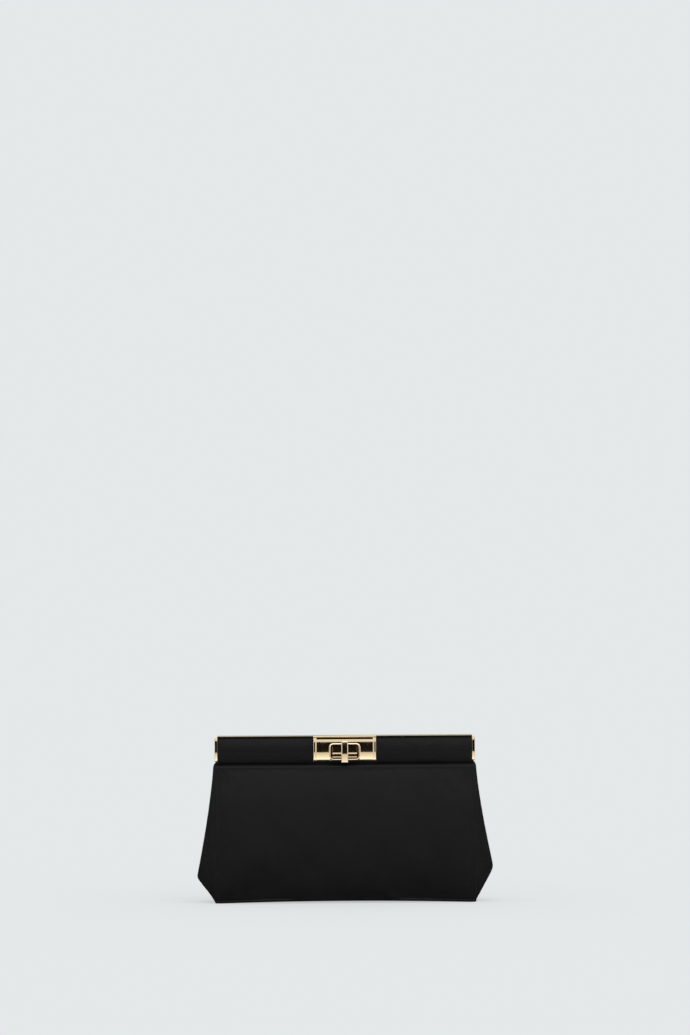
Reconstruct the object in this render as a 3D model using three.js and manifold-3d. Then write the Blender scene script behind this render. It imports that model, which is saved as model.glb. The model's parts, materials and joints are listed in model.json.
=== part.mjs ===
// Framed evening clutch: a satin bag on a two-part gold frame that swings open about two hinge pins
// hidden in the tops of the gussets, closed by a turn-lock. Millimetres, +Z up, the lock faces -Y,
// and the origin is the middle of the base, on the surface that the bag stands on.
import * as THREE from 'three';
import { mergeVertices } from 'three/addons/utils/BufferGeometryUtils.js';
import Module from 'manifold-3d';

const wasm = await Module();
wasm.setup();

// Fit
const GAP = 0.3;
const HALF_GAP = 0.15;
const FINE = 8;
const OVERLAP = 0.1;
const THROUGH = 20;

// Top bar
const BAR_HALF_WIDTH = 101;
const BAR_TOP = 128.5;
const BAR_FRONT = -12.2;
const RAIL_WALL = 1;
const RAIL_BOTTOM = 108.3;
const RAIL_FACE = -10.4;
const RAIL_INNER_FACE = -5.4;
const RAIL_INNER_BOTTOM = 112;
const CHANNEL_HALF_LENGTH = 93.5;
const CAP_WIDTH = 2.2;
const CAP_BOTTOM = 108.8;
const CAP_CHAMFER = 1.9;
const INLAY_BOTTOM = 107.7;
const INLAY_EDGE = 1;
const INLAY_CROWN = 2.4;
const INLAY_ROUNDING = 0.8;
const RETAINER_INNER_END = 22;
const RETAINER_THICKNESS = 1;
const RETAINER_BOTTOM = 112.5;
const RETAINER_TOP = 124;

// Hinge
const HINGE_Z = 63.5;
const ARM_THICKNESS = 1.2;
const ARM_FRONT = -8.8;
const ARM_REAR = -1.2;
const ARM_NARROWS_Z = 79.5;
const ARM_OFFSET = 2.7;
const EYE_RADIUS = 4.2;
const PIN_RADIUS = 1.5;
const PIN_HOLE_RADIUS = 1.6;
const PIN_HEAD_RADIUS = 3;
const PIN_HEAD_THICKNESS = 0.9;
const WASHER_HOLE_RADIUS = 1.7;
const WASHER_RADIUS = 3.9;
const JOGGLE_TOP = 92;
const JOGGLE_BOTTOM = 84;

// Turn-lock
const PLATE_HALF_WIDTH = 24.5;
const PLATE_BOTTOM = 109.2;
const PLATE_TOP = 127.2;
const PLATE_THICKNESS = 0.8;
const PLATE_CENTRE_Y = -12.6;
const PLATE_BOW = 0.5;
const PLATE_HEIGHTS = [PLATE_BOTTOM, 112, 114.5, 117, 120, 123.5, PLATE_TOP];
const RIB_FROM = 21.9;
const RIB_TO = 23.1;
const RIB_RAISE = 0.4;
const EYELET_Z = 116;
const EYELET_OPENING = [21, 9.7];
const EYELET_TUBE = [22.6, 11.7];
const EYELET_HOLE = [23.2, 12.3];
const EYELET_FLANGE = [24.3, 13.4];
const EYELET_CORNER = 3.1;
const EYELET_TUBE_CORNER = 2.5;
const EYELET_HOLE_CORNER = 2.7;
const EYELET_OPENING_CORNER = 1.9;
const EYELET_FLANGE_Y = [-13.4, -12.9];
const EYELET_TUBE_Y = [-13, -10.7];
const BACKING_SIZE = [27, 13.6];
const BACKING_Y = [-10.9, -10.5];
const LOCK_NOTCH_HALF_WIDTH = 14.5;
const LOCK_NOTCH_TOP = 126.2;
const KNOB_Z = 116;
const KNOB_BACK = -13.75;
const KNOB_LENGTH = 17.2;
const KNOB_WIDTH = 5.4;
const KNOB_THICKNESS = 2.6;
const KNOB_END_THICKNESS = 1.2;
const KNOB_BEVEL = 0.45;
const SPINDLE_RADIUS = 1.8;
const SPINDLE_BORE = 1.95;
const SPINDLE_NECK_RADIUS = 1.2;
const SPINDLE_NECK_Y = [-4.4, -3.3];
const SPINDLE_END_Y = -2.6;
const CLIP_RADII = [1.5, 2.45];
const CLIP_Y = [-4.1, -3.6];
const CLIP_POCKET_RADIUS = 2.6;
const CLIP_POCKET_Y = -4.6;
const TONGUE_HALF_WIDTH = 9;
const TONGUE_HEIGHT = 5.4;
const TONGUE_Y = [-8.3, 3.1];
const BRIDGE_PLATE_SIZE = [40, 10.6];
const BRIDGE_PLATE_CORNER = 1.5;
const BRIDGE_PLATE_Y = [2.1, 4.1];
const BOSS_SIZE = [19, 4.8];
const BOSS_CORNER = 1.9;
const BOSS_Y = [-12.9, -8.6];
const RIVET_X = 15.5;
const RIVET_RADIUS = 1.2;
const RIVET_HEAD_RADIUS = 2;
const RIVET_HOLE_RADIUS = 1.35;
const RIVET_Y = [1.1, 1.8, 5.7, 6.4];
const ROUND_SMALL = 16;

// Soft body
const PANEL_THICKNESS = 1.2;
const BOARD_THICKNESS = 1;
const LINING_THICKNESS = 0.5;
const BASE_HALF_DEPTH = 25.2;
const SHOULDER_Z = 100;
const SHOULDER_HALF_DEPTH = 13.3;
const BELLY_POWER = 1.6;
const PANEL_BOTTOM = 0.3;
const PANEL_CHANNEL_Y = -9.1;
const PANEL_CUT_Z = 106;
const LINING_CHANNEL_Y = -7.6;
const LINING_CUT_Z = 109;
const CHANNEL_TOP = 120;
const BOARD_TOP = 54;
const COLLAR_BOTTOM = 74;
const COLLAR_TOP = 102;
const BOARD_SIDE_GAP = 1.6;
const GUSSET_THICKNESS = 1.1;
const GUSSET_EDGE_X = 100.8;
const GUSSET_BOTTOM_X = 100.3;
const GUSSET_TIP_X = 114.6;
const GUSSET_TIP_Z = 22;
const GUSSET_NECK_X = 102.6;
const GUSSET_NECK_Z = 88;
const GUSSET_TOP = 102;
const GUSSET_RIDGE_POWER = 1.15;
const GUSSET_HEIGHTS = [
  PANEL_BOTTOM, 8, 15, GUSSET_TIP_Z, 32, 45, HINGE_Z, 76, GUSSET_NECK_Z, 97, GUSSET_TOP,
];
// Half of the fold's section: how far out towards the ridge, and how far from its middle.
const FOLD_SHAPE = [[0, 1], [0.5, 0.55]];
const FOLD_CREST = 0.9;
const FOLD_CREST_HALF_WIDTH = 1.6;
const GUSSET_LINING_X = 92.8;
const FLOOR_OF_LINING = 4.5;
const GUSSET_LINING_HEIGHTS = [FLOOR_OF_LINING, 28, 52, HINGE_Z, 80, 99];
const POCKET_Z = [12, 52];
const POCKET_HALF_WIDTH = 62;
const BASE_CORNER = 3;
// thickness, height above the ground, half length and half depth of each sheet of the base
const BASE_PANEL = [1.2, 0, 98.7, 23.7];
const BASE_BOARD = [1.6, 1.5, 97, 22.2];
const BASE_LINING = [0.5, 3.4, 91.5, 20.8];

const BLACK_SATIN = [0x1b1b1c, 0.55, 0];
const BLACK_LINING = [0x141415, 0.7, 0];
const BOARD = [0x8c8378, 0.9, 0];
const GOLD = [0xe0c08a, 0.18, 1];
const STEEL = [0xa9a9a6, 0.35, 1];

const group = new THREE.Group();
const frontHalf = new THREE.Group();
const backHalf = new THREE.Group();
backHalf.rotation.z = Math.PI;
group.add(frontHalf, backHalf);

// The world side that lies at -X of each half's own frame: the back half is the front half turned round.
const SIDES = { front: { left: -1, right: 1 }, back: { left: 1, right: -1 } };

function add(parent, name, geometry, [color, roughness, metalness]) {
  const material = new THREE.MeshStandardMaterial({ color, roughness, metalness });
  const mesh = new THREE.Mesh(geometry, material);
  mesh.name = name;
  parent.add(mesh);
}

// ---- outlines and extrusions ----

function polygon(points) {
  return new THREE.Shape(points.map(([u, v]) => new THREE.Vector2(u, v)));
}

function roundedRectangle([width, height], radius, centre = [0, 0]) {
  const [cu, cv] = centre;
  const u = width / 2 - radius;
  const v = height / 2 - radius;
  const shape = new THREE.Shape();
  shape.absarc(cu + u, cv + v, radius, 0, Math.PI / 2);
  shape.absarc(cu - u, cv + v, radius, Math.PI / 2, Math.PI);
  shape.absarc(cu - u, cv - v, radius, Math.PI, 1.5 * Math.PI);
  shape.absarc(cu + u, cv - v, radius, 1.5 * Math.PI, 2 * Math.PI);
  return shape;
}

function extrude(shape, depth) {
  return new THREE.ExtrudeGeometry(shape, { depth, bevelEnabled: false, curveSegments: FINE });
}

const axis = (x, y, z) => new THREE.Vector3(x, y, z);
const ALONG_X = new THREE.Matrix4().makeBasis(axis(0, 1, 0), axis(0, 0, 1), axis(1, 0, 0));
const ALONG_Y = new THREE.Matrix4().makeBasis(axis(1, 0, 0), axis(0, 0, 1), axis(0, -1, 0));

// A (y, z) outline from one x to a larger one.
function alongX(shape, fromX, toX) {
  return extrude(shape, toX - fromX).applyMatrix4(ALONG_X).translate(fromX, 0, 0);
}

// An (x, z) outline from one y to a larger one.
function alongY(shape, fromY, toY) {
  return extrude(shape, toY - fromY).applyMatrix4(ALONG_Y).translate(0, toY, 0);
}

// An (x, y) outline from one z to a larger one.
function alongZ(shape, fromZ, toZ) {
  return extrude(shape, toZ - fromZ).translate(0, 0, fromZ);
}

function box([x0, y0, z0], [x1, y1, z1]) {
  const middle = [(x0 + x1) / 2, (y0 + y1) / 2, (z0 + z1) / 2];
  return new THREE.BoxGeometry(x1 - x0, y1 - y0, z1 - z0).translate(...middle);
}

// A turned piece about the Y axis: points are [radius, y], running towards +Y.
function turned(points, segments = 24) {
  return new THREE.LatheGeometry(points.map(([r, y]) => new THREE.Vector2(r, y)), segments);
}

// A round bar along Y.
function rod(radius, [fromY, toY], segments = 24) {
  return turned([[0, fromY], [radius, fromY], [radius, toY], [0, toY]], segments);
}

// A turned piece about the X axis.
function turnedAboutX(points, segments = 24) {
  return turned(points, segments).rotateZ(-Math.PI / 2);
}

// ---- joining and cutting ----

function toSolid(geometry) {
  const bare = geometry.clone();
  bare.deleteAttribute('normal');
  bare.deleteAttribute('uv');
  const merged = mergeVertices(bare, 1e-4);
  const vertProperties = new Float32Array(merged.attributes.position.array);
  const triVerts = new Uint32Array(merged.index.array);
  return new wasm.Manifold(new wasm.Mesh({ numProp: 3, vertProperties, triVerts }));
}

function toGeometry(solid) {
  const { vertProperties, triVerts } = solid.getMesh();
  const geometry = new THREE.BufferGeometry();
  geometry.setAttribute('position', new THREE.BufferAttribute(vertProperties, 3));
  geometry.setIndex(new THREE.BufferAttribute(triVerts, 1));
  return geometry;
}

function join(first, ...others) {
  return toGeometry(others.reduce((solid, other) => solid.add(toSolid(other)), toSolid(first)));
}

function cut(first, ...tools) {
  return toGeometry(tools.reduce((solid, tool) => solid.subtract(toSolid(tool)), toSolid(first)));
}

function common(first, second) {
  return toGeometry(toSolid(first).intersect(toSolid(second)));
}

// A closed body through level sections: every section has the same number of points, anticlockwise
// seen from above, and the lowest section comes first.
function loft(sections) {
  const count = sections[0].length;
  const positions = sections.flat().flatMap((point) => point.toArray());
  const cap = THREE.ShapeUtils.triangulateShape(sections[0].map(({ x, y }) => new THREE.Vector2(x, y)), []);
  const top = (sections.length - 1) * count;
  const index = cap.flatMap(([a, b, c]) => [c, b, a, top + a, top + b, top + c]);
  for (let level = 0; level < top; level += count) {
    for (let i = 0; i < count; i += 1) {
      const here = level + i;
      const next = level + (i + 1) % count;
      index.push(here, next, next + count, here, next + count, here + count);
    }
  }
  const geometry = new THREE.BufferGeometry();
  geometry.setAttribute('position', new THREE.Float32BufferAttribute(positions, 3));
  geometry.setIndex(index);
  return geometry;
}

// ---- shape of the soft body ----

// Half the body's depth over the satin, at a height.
function depthAt(z) {
  const fall = BASE_HALF_DEPTH - SHOULDER_HALF_DEPTH;
  return BASE_HALF_DEPTH - fall * (Math.max(z, 0) / SHOULDER_Z) ** BELLY_POWER;
}

// How far out the gusset's fold stands, at a height.
function ridgeAt(z) {
  if (z <= GUSSET_TIP_Z) {
    return THREE.MathUtils.lerp(GUSSET_BOTTOM_X, GUSSET_TIP_X, z / GUSSET_TIP_Z);
  }
  const fraction = Math.max(GUSSET_NECK_Z - z, 0) / (GUSSET_NECK_Z - GUSSET_TIP_Z);
  return GUSSET_NECK_X + (GUSSET_TIP_X - GUSSET_NECK_X) * fraction ** GUSSET_RIDGE_POWER;
}

// A front wall's path in (y, z), a distance behind the satin's face, straight up to topZ.
function wallPath(inset, bottomZ, topZ, steps) {
  const path = [];
  for (let i = 0; i <= steps; i += 1) {
    const z = THREE.MathUtils.lerp(bottomZ, topZ, i / steps);
    path.push(new THREE.Vector2(inset - depthAt(z), z));
  }
  return path;
}

// A wall's path that goes on over the shoulder and up into the rail's channel.
function channelPath(inset, bottomZ, channelY) {
  const shoulder = inset - depthAt(SHOULDER_Z);
  const over = new THREE.SplineCurve([
    new THREE.Vector2(shoulder, SHOULDER_Z),
    new THREE.Vector2(shoulder + 0.4, SHOULDER_Z + 3),
    new THREE.Vector2(THREE.MathUtils.lerp(shoulder, channelY, 0.4), SHOULDER_Z + 5.3),
    new THREE.Vector2(THREE.MathUtils.lerp(shoulder, channelY, 0.8), SHOULDER_Z + 6.9),
    new THREE.Vector2(channelY, SHOULDER_Z + 9),
    new THREE.Vector2(channelY, CHANNEL_TOP),
  ]);
  return [...wallPath(inset, bottomZ, SHOULDER_Z, 9), ...over.getPoints(15).slice(1)];
}

// The outline of a sheet whose outer face follows the path, with its thickness towards the inside.
function sheetOutline(path, thickness) {
  const inner = path.map((point, i) => {
    const before = path[Math.max(i - 1, 0)];
    const after = path[Math.min(i + 1, path.length - 1)];
    const along = after.clone().sub(before).normalize();
    return new THREE.Vector2(point.x + along.y * thickness, point.y - along.x * thickness);
  });
  return new THREE.Shape([...path, ...inner.reverse()]);
}

// ---- one half of the frame, drawn as the front half ----

function rail(isFront) {
  const roof = BAR_TOP - RAIL_WALL;
  const face = polygon([
    [RAIL_FACE, RAIL_BOTTOM], [RAIL_FACE + RAIL_WALL, RAIL_BOTTOM], [RAIL_FACE + RAIL_WALL, roof],
    [-HALF_GAP, roof], [-HALF_GAP, BAR_TOP], [BAR_FRONT, BAR_TOP], [BAR_FRONT, roof], [RAIL_FACE, roof],
  ]);
  const end = BAR_HALF_WIDTH - CAP_WIDTH - GAP;
  const innerWall = box(
    [-CHANNEL_HALF_LENGTH, RAIL_INNER_FACE, RAIL_INNER_BOTTOM],
    [CHANNEL_HALF_LENGTH, RAIL_INNER_FACE + RAIL_WALL, roof + OVERLAP],
  );
  const channel = join(alongX(face, -end, end), innerWall);
  if (isFront) {
    const lowest = [-LOCK_NOTCH_HALF_WIDTH, RAIL_FACE - 1, RAIL_BOTTOM - 1];
    return cut(channel, box(lowest, [LOCK_NOTCH_HALF_WIDTH, 0, LOCK_NOTCH_TOP]));
  }
  return cut(channel, rivetHole(-RIVET_X), rivetHole(RIVET_X));
}

// The lock's rivets run along Y through the inner wall of the back rail and the bridge's plate.
function rivetHole(x) {
  return rod(RIVET_HOLE_RADIUS, [RAIL_INNER_FACE - 1, THROUGH], ROUND_SMALL).translate(x, 0, KNOB_Z);
}

function endCap(side) {
  const inner = BAR_HALF_WIDTH - CAP_WIDTH;
  const outline = [
    [inner, CAP_BOTTOM], [BAR_HALF_WIDTH, CAP_BOTTOM], [BAR_HALF_WIDTH, BAR_TOP - CAP_CHAMFER],
    [BAR_HALF_WIDTH - CAP_CHAMFER + 0.2, BAR_TOP], [inner, BAR_TOP],
  ];
  const cap = alongY(polygon(outline), BAR_FRONT, -HALF_GAP);
  return side > 0 ? cap : cap.rotateZ(Math.PI).translate(0, BAR_FRONT - HALF_GAP, 0);
}

// The arm's outline in (y, z): a straight strip that narrows into the eye round the hinge pin.
function armOutline() {
  const top = BAR_TOP - RAIL_WALL - GAP;
  const shape = new THREE.Shape();
  shape.moveTo(ARM_FRONT, top);
  shape.lineTo(ARM_FRONT, ARM_NARROWS_Z);
  shape.absarc(0, HINGE_Z, EYE_RADIUS, Math.PI, 2.25 * Math.PI);
  shape.lineTo(ARM_REAR, ARM_NARROWS_Z);
  shape.lineTo(ARM_REAR, top);
  return shape;
}

function pinHole() {
  const [from, to] = [ARM_INNER - THROUGH, ARM_OUTER + THROUGH];
  const section = [[0, from], [PIN_HOLE_RADIUS, from], [PIN_HOLE_RADIUS, to], [0, to]];
  return turnedAboutX(section).translate(0, 0, HINGE_Z);
}

const ARM_OUTER = BAR_HALF_WIDTH - CAP_WIDTH - GAP;
const ARM_INNER = ARM_OUTER - ARM_THICKNESS;

function straightArm() {
  return cut(alongX(armOutline(), ARM_INNER, ARM_OUTER), pinHole());
}

// The back arm steps inwards below the bar, so that both arms lie side by side on the pin.
function joggledArm() {
  const lowest = HINGE_Z - THROUGH;
  const strip = polygon([
    [ARM_INNER, BAR_TOP], [ARM_INNER, JOGGLE_TOP], [ARM_INNER - ARM_OFFSET, JOGGLE_BOTTOM],
    [ARM_INNER - ARM_OFFSET, lowest], [ARM_OUTER - ARM_OFFSET, lowest],
    [ARM_OUTER - ARM_OFFSET, JOGGLE_BOTTOM], [ARM_OUTER, JOGGLE_TOP], [ARM_OUTER, BAR_TOP],
  ]);
  const outline = alongX(armOutline(), ARM_INNER - 2 * ARM_OFFSET, ARM_OUTER);
  return cut(common(alongY(strip, -THROUGH, THROUGH), outline), pinHole());
}

// The same piece for the other end of the bar.
function mirroredInX(geometry) {
  const mirrored = geometry.clone().scale(-1, 1, 1);
  const { array } = mirrored.index;
  for (let i = 0; i < array.length; i += 3) {
    [array[i], array[i + 1]] = [array[i + 1], array[i]];
  }
  return mirrored;
}

function inlay(fromX, toX) {
  const back = RAIL_FACE - GAP;
  const roof = BAR_TOP - RAIL_WALL - GAP;
  const padded = new THREE.Shape();
  padded.moveTo(back, roof);
  padded.lineTo(back - INLAY_EDGE, roof);
  const middle = (INLAY_BOTTOM + roof) / 2;
  padded.quadraticCurveTo(RAIL_FACE - INLAY_CROWN, middle, back - INLAY_EDGE, INLAY_BOTTOM + INLAY_ROUNDING);
  padded.quadraticCurveTo(back - INLAY_EDGE, INLAY_BOTTOM, back, INLAY_BOTTOM);
  return alongX(padded, fromX, toX);
}

function retainer(side) {
  const y = RAIL_INNER_FACE - GAP;
  const ends = [RETAINER_INNER_END, CHANNEL_HALF_LENGTH].map((x) => x * side).sort((a, b) => a - b);
  return box([ends[0], y - RETAINER_THICKNESS, RETAINER_BOTTOM], [ends[1], y, RETAINER_TOP]);
}

function collar() {
  const inset = PANEL_THICKNESS + GAP;
  const halfWidth = GUSSET_EDGE_X - BOARD_SIDE_GAP;
  const path = wallPath(inset, COLLAR_BOTTOM, COLLAR_TOP, 5);
  return alongX(sheetOutline(path, BOARD_THICKNESS), -halfWidth, halfWidth);
}

function halfFrame(half, parent) {
  const isFront = half === 'front';
  const end = BAR_HALF_WIDTH - CAP_WIDTH - GAP;
  const arm = isFront ? straightArm() : joggledArm();
  add(parent, `${half}_rail`, rail(isFront), GOLD);
  add(parent, `${half}_collar`, collar(), BOARD);
  for (const [word, side] of Object.entries(SIDES[half])) {
    add(parent, `${half}_end_cap_${word}`, endCap(side), GOLD);
    add(parent, `${half}_arm_${word}`, side > 0 ? arm : mirroredInX(arm), STEEL);
    add(parent, `${half}_retainer_${word}`, retainer(side), STEEL);
    if (isFront) {
      const ends = [PLATE_HALF_WIDTH + GAP, end].map((x) => x * side).sort((a, b) => a - b);
      add(parent, `front_inlay_${word}`, inlay(...ends), BLACK_SATIN);
    }
  }
  if (!isFront) {
    add(parent, 'back_inlay', inlay(-end, end), BLACK_SATIN);
  }
}

// ---- hinge pins, fixed in the back arms ----

function hingePin() {
  const inner = ARM_INNER - ARM_OFFSET - GAP;
  const outer = ARM_OUTER + GAP;
  const head = PIN_HEAD_THICKNESS;
  return turnedAboutX([
    [0, inner - head], [PIN_HEAD_RADIUS, inner - head], [PIN_HEAD_RADIUS, inner], [PIN_RADIUS, inner],
    [PIN_RADIUS, outer], [PIN_HEAD_RADIUS, outer], [PIN_HEAD_RADIUS, outer + head], [0, outer + head],
  ]).translate(0, 0, HINGE_Z);
}

function hingeWasher() {
  const inner = ARM_OUTER - ARM_OFFSET + GAP;
  const outer = ARM_INNER - GAP;
  const [hole, rim] = [WASHER_HOLE_RADIUS, WASHER_RADIUS];
  const section = [[hole, inner], [rim, inner], [rim, outer], [hole, outer], [hole, inner]];
  return turnedAboutX(section).translate(0, 0, HINGE_Z);
}

// ---- turn-lock ----

// The plate's gently bowed section in (y, z), a distance in front of its usual place.
function plateSection(raise) {
  const bow = (z) => {
    const t = (z - EYELET_Z) / (PLATE_TOP - EYELET_Z);
    return PLATE_CENTRE_Y + PLATE_BOW * t * t;
  };
  const front = PLATE_HEIGHTS.map((z) => [bow(z) - raise, z]);
  const back = PLATE_HEIGHTS.map((z) => [bow(z) + PLATE_THICKNESS, z]).reverse();
  return polygon([...front, ...back].reverse());
}

function lockPlate() {
  const plate = alongX(plateSection(0), -PLATE_HALF_WIDTH, PLATE_HALF_WIDTH);
  const ribs = [-1, 1].map((side) => {
    const ends = [RIB_FROM * side, RIB_TO * side].sort((a, b) => a - b);
    return alongX(plateSection(RIB_RAISE), ...ends);
  });
  const hole = roundedRectangle(EYELET_HOLE, EYELET_HOLE_CORNER, [0, EYELET_Z]);
  return cut(join(plate, ...ribs), alongY(hole, -THROUGH, 0));
}

function eyelet() {
  const centre = [0, EYELET_Z];
  const flange = alongY(roundedRectangle(EYELET_FLANGE, EYELET_CORNER, centre), ...EYELET_FLANGE_Y);
  const tube = alongY(roundedRectangle(EYELET_TUBE, EYELET_TUBE_CORNER, centre), ...EYELET_TUBE_Y);
  const opening = alongY(roundedRectangle(EYELET_OPENING, EYELET_OPENING_CORNER, centre), -THROUGH, 0);
  return cut(join(flange, tube), opening);
}

function eyeletBacking() {
  const ring = roundedRectangle(BACKING_SIZE, EYELET_CORNER, [0, EYELET_Z]);
  ring.holes.push(roundedRectangle(EYELET_HOLE, EYELET_HOLE_CORNER, [0, EYELET_Z]));
  return alongY(ring, ...BACKING_Y);
}

// The tongue reaches from the back half through the front half, and carries the knob.
function lockBridge() {
  const low = KNOB_Z - TONGUE_HEIGHT / 2;
  const [front, rear] = TONGUE_Y;
  const tongue = box([-TONGUE_HALF_WIDTH, front, low], [TONGUE_HALF_WIDTH, rear, low + TONGUE_HEIGHT]);
  const outline = roundedRectangle(BRIDGE_PLATE_SIZE, BRIDGE_PLATE_CORNER, [0, KNOB_Z]);
  const plate = alongY(outline, ...BRIDGE_PLATE_Y);
  const bore = turned([
    [0, -THROUGH], [SPINDLE_BORE, -THROUGH], [SPINDLE_BORE, CLIP_POCKET_Y],
    [CLIP_POCKET_RADIUS, CLIP_POCKET_Y], [CLIP_POCKET_RADIUS, THROUGH], [0, THROUGH],
  ]).translate(0, 0, KNOB_Z);
  return cut(join(tongue, plate), bore, rivetHole(-RIVET_X), rivetHole(RIVET_X));
}

function turnlockBase() {
  const boss = alongY(roundedRectangle(BOSS_SIZE, BOSS_CORNER, [0, KNOB_Z]), ...BOSS_Y);
  return cut(boss, rod(SPINDLE_BORE, [-THROUGH, 0]).translate(0, 0, KNOB_Z));
}

function lockRivet(x) {
  const [first, second, third, last] = RIVET_Y;
  const [shaft, head] = [RIVET_RADIUS, RIVET_HEAD_RADIUS];
  return turned([
    [0, first], [head, first], [head, second], [shaft, second],
    [shaft, third], [head, third], [head, last], [0, last],
  ], ROUND_SMALL).translate(x, 0, KNOB_Z);
}

function turnKnob() {
  const half = KNOB_LENGTH / 2;
  const side = new THREE.Shape();
  side.moveTo(KNOB_BACK, half);
  side.lineTo(KNOB_BACK - KNOB_END_THICKNESS, half);
  side.quadraticCurveTo(
    KNOB_BACK - 2 * KNOB_THICKNESS + KNOB_END_THICKNESS, 0, KNOB_BACK - KNOB_END_THICKNESS, -half,
  );
  side.lineTo(KNOB_BACK, -half);
  const bevel = KNOB_BEVEL;
  const bar = new THREE.ExtrudeGeometry(side, {
    depth: KNOB_WIDTH - 2 * bevel, curveSegments: 2 * FINE, bevelEnabled: true, bevelSegments: 1,
    bevelSize: bevel, bevelThickness: bevel, bevelOffset: -bevel,
  });
  return bar.applyMatrix4(ALONG_X).translate(bevel - KNOB_WIDTH / 2, 0, KNOB_Z);
}

function knobSpindle() {
  const front = KNOB_BACK + GAP;
  const [neckFront, neckRear] = SPINDLE_NECK_Y;
  return turned([
    [0, front], [SPINDLE_RADIUS, front], [SPINDLE_RADIUS, neckFront], [SPINDLE_NECK_RADIUS, neckFront],
    [SPINDLE_NECK_RADIUS, neckRear], [SPINDLE_RADIUS, neckRear], [SPINDLE_RADIUS, SPINDLE_END_Y],
    [0, SPINDLE_END_Y],
  ]).translate(0, 0, KNOB_Z);
}

function spindleClip() {
  const [hole, rim] = CLIP_RADII;
  const [front, rear] = CLIP_Y;
  const section = [[hole, front], [rim, front], [rim, rear], [hole, rear], [hole, front]];
  return turned(section).translate(0, 0, KNOB_Z);
}

// ---- soft body ----

function base([thickness, fromZ, halfLength, halfDepth]) {
  const outline = roundedRectangle([2 * halfLength, 2 * halfDepth], BASE_CORNER);
  return alongZ(outline, fromZ, fromZ + thickness);
}

// The satin wall, cut away round the arms and the lock where it goes up into the channel.
function panel() {
  const outline = sheetOutline(channelPath(0, PANEL_BOTTOM, PANEL_CHANNEL_Y), PANEL_THICKNESS);
  const wall = alongX(outline, -BAR_HALF_WIDTH, BAR_HALF_WIDTH);
  return cut(wall, ...channelCuts(PANEL_CUT_Z, BAR_HALF_WIDTH + 1));
}

function lining() {
  const inset = PANEL_THICKNESS + BOARD_THICKNESS + 2 * GAP;
  const halfWidth = GUSSET_LINING_X - GAP;
  const outline = sheetOutline(channelPath(inset, FLOOR_OF_LINING, LINING_CHANNEL_Y), LINING_THICKNESS);
  return cut(alongX(outline, -halfWidth, halfWidth), ...channelCuts(LINING_CUT_Z, halfWidth + 1));
}

function channelCuts(fromZ, outerX) {
  const top = CHANNEL_TOP + 1;
  const edge = CHANNEL_HALF_LENGTH - GAP;
  return [
    box([-LOCK_NOTCH_HALF_WIDTH - GAP, -THROUGH, fromZ], [LOCK_NOTCH_HALF_WIDTH + GAP, 0, top]),
    box([-outerX, -THROUGH, fromZ], [-edge, 0, top]),
    box([edge, -THROUGH, fromZ], [outerX, 0, top]),
  ];
}

function board() {
  const path = wallPath(PANEL_THICKNESS + GAP, FLOOR_OF_LINING, BOARD_TOP, 6);
  const halfWidth = GUSSET_EDGE_X - BOARD_SIDE_GAP;
  return alongX(sheetOutline(path, BOARD_THICKNESS), -halfWidth, halfWidth);
}

function slipPocket() {
  const inset = PANEL_THICKNESS + BOARD_THICKNESS + LINING_THICKNESS + 3 * GAP;
  const outline = sheetOutline(wallPath(inset, ...POCKET_Z, 5), LINING_THICKNESS);
  return alongX(outline, -POCKET_HALF_WIDTH, POCKET_HALF_WIDTH);
}

// The sheet's section at a height: it folds outwards from one panel's edge to the other's.
function foldSection(z, edgeX, ridgeX, halfDepth, thickness) {
  const outTo = (share) => THREE.MathUtils.lerp(edgeX, ridgeX, share);
  const half = FOLD_SHAPE.map(([share, along]) => [outTo(share), along * halfDepth]);
  half.push([outTo(FOLD_CREST), FOLD_CREST_HALF_WIDTH]);
  const outer = [...half.map(([x, y]) => [x, -y]), [ridgeX, 0], ...half.reverse()];
  const inner = outer.map(([x, y]) => [x - thickness, y]).reverse();
  return [...outer, ...inner].map(([x, y]) => new THREE.Vector3(x, y, z));
}

// Above the hinge the fold is slit, so that each half goes with its own half of the frame.
function slit(sheet) {
  const lowest = [GUSSET_LINING_X - THROUGH, -GAP, HINGE_Z + 1];
  return cut(sheet, box(lowest, [GUSSET_TIP_X + THROUGH, GAP, BAR_TOP]));
}

function gusset() {
  const inset = PANEL_THICKNESS + GAP;
  const sections = GUSSET_HEIGHTS.map((z) => (
    foldSection(z, GUSSET_EDGE_X, ridgeAt(z), depthAt(z) - inset, GUSSET_THICKNESS)
  ));
  return slit(loft(sections));
}

function gussetLining() {
  const inset = PANEL_THICKNESS + BOARD_THICKNESS + LINING_THICKNESS + 4 * GAP;
  const edge = GUSSET_LINING_X - LINING_THICKNESS;
  const sections = GUSSET_LINING_HEIGHTS.map((z) => (
    foldSection(z, edge, GUSSET_LINING_X, depthAt(z) - inset, LINING_THICKNESS)
  ));
  return slit(loft(sections));
}

// ---- assembly ----

halfFrame('front', frontHalf);
halfFrame('back', backHalf);

add(group, 'lock_plate', lockPlate(), GOLD);
add(group, 'eyelet', eyelet(), GOLD);
add(group, 'eyelet_backing', eyeletBacking(), STEEL);
add(group, 'lock_bridge', lockBridge(), STEEL);
add(group, 'turnlock_base', turnlockBase(), GOLD);
add(group, 'lock_rivet_left', lockRivet(-RIVET_X), STEEL);
add(group, 'lock_rivet_right', lockRivet(RIVET_X), STEEL);
add(group, 'turn_knob', turnKnob(), GOLD);
add(group, 'knob_spindle', knobSpindle(), STEEL);
add(group, 'spindle_clip', spindleClip(), STEEL);

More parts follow.
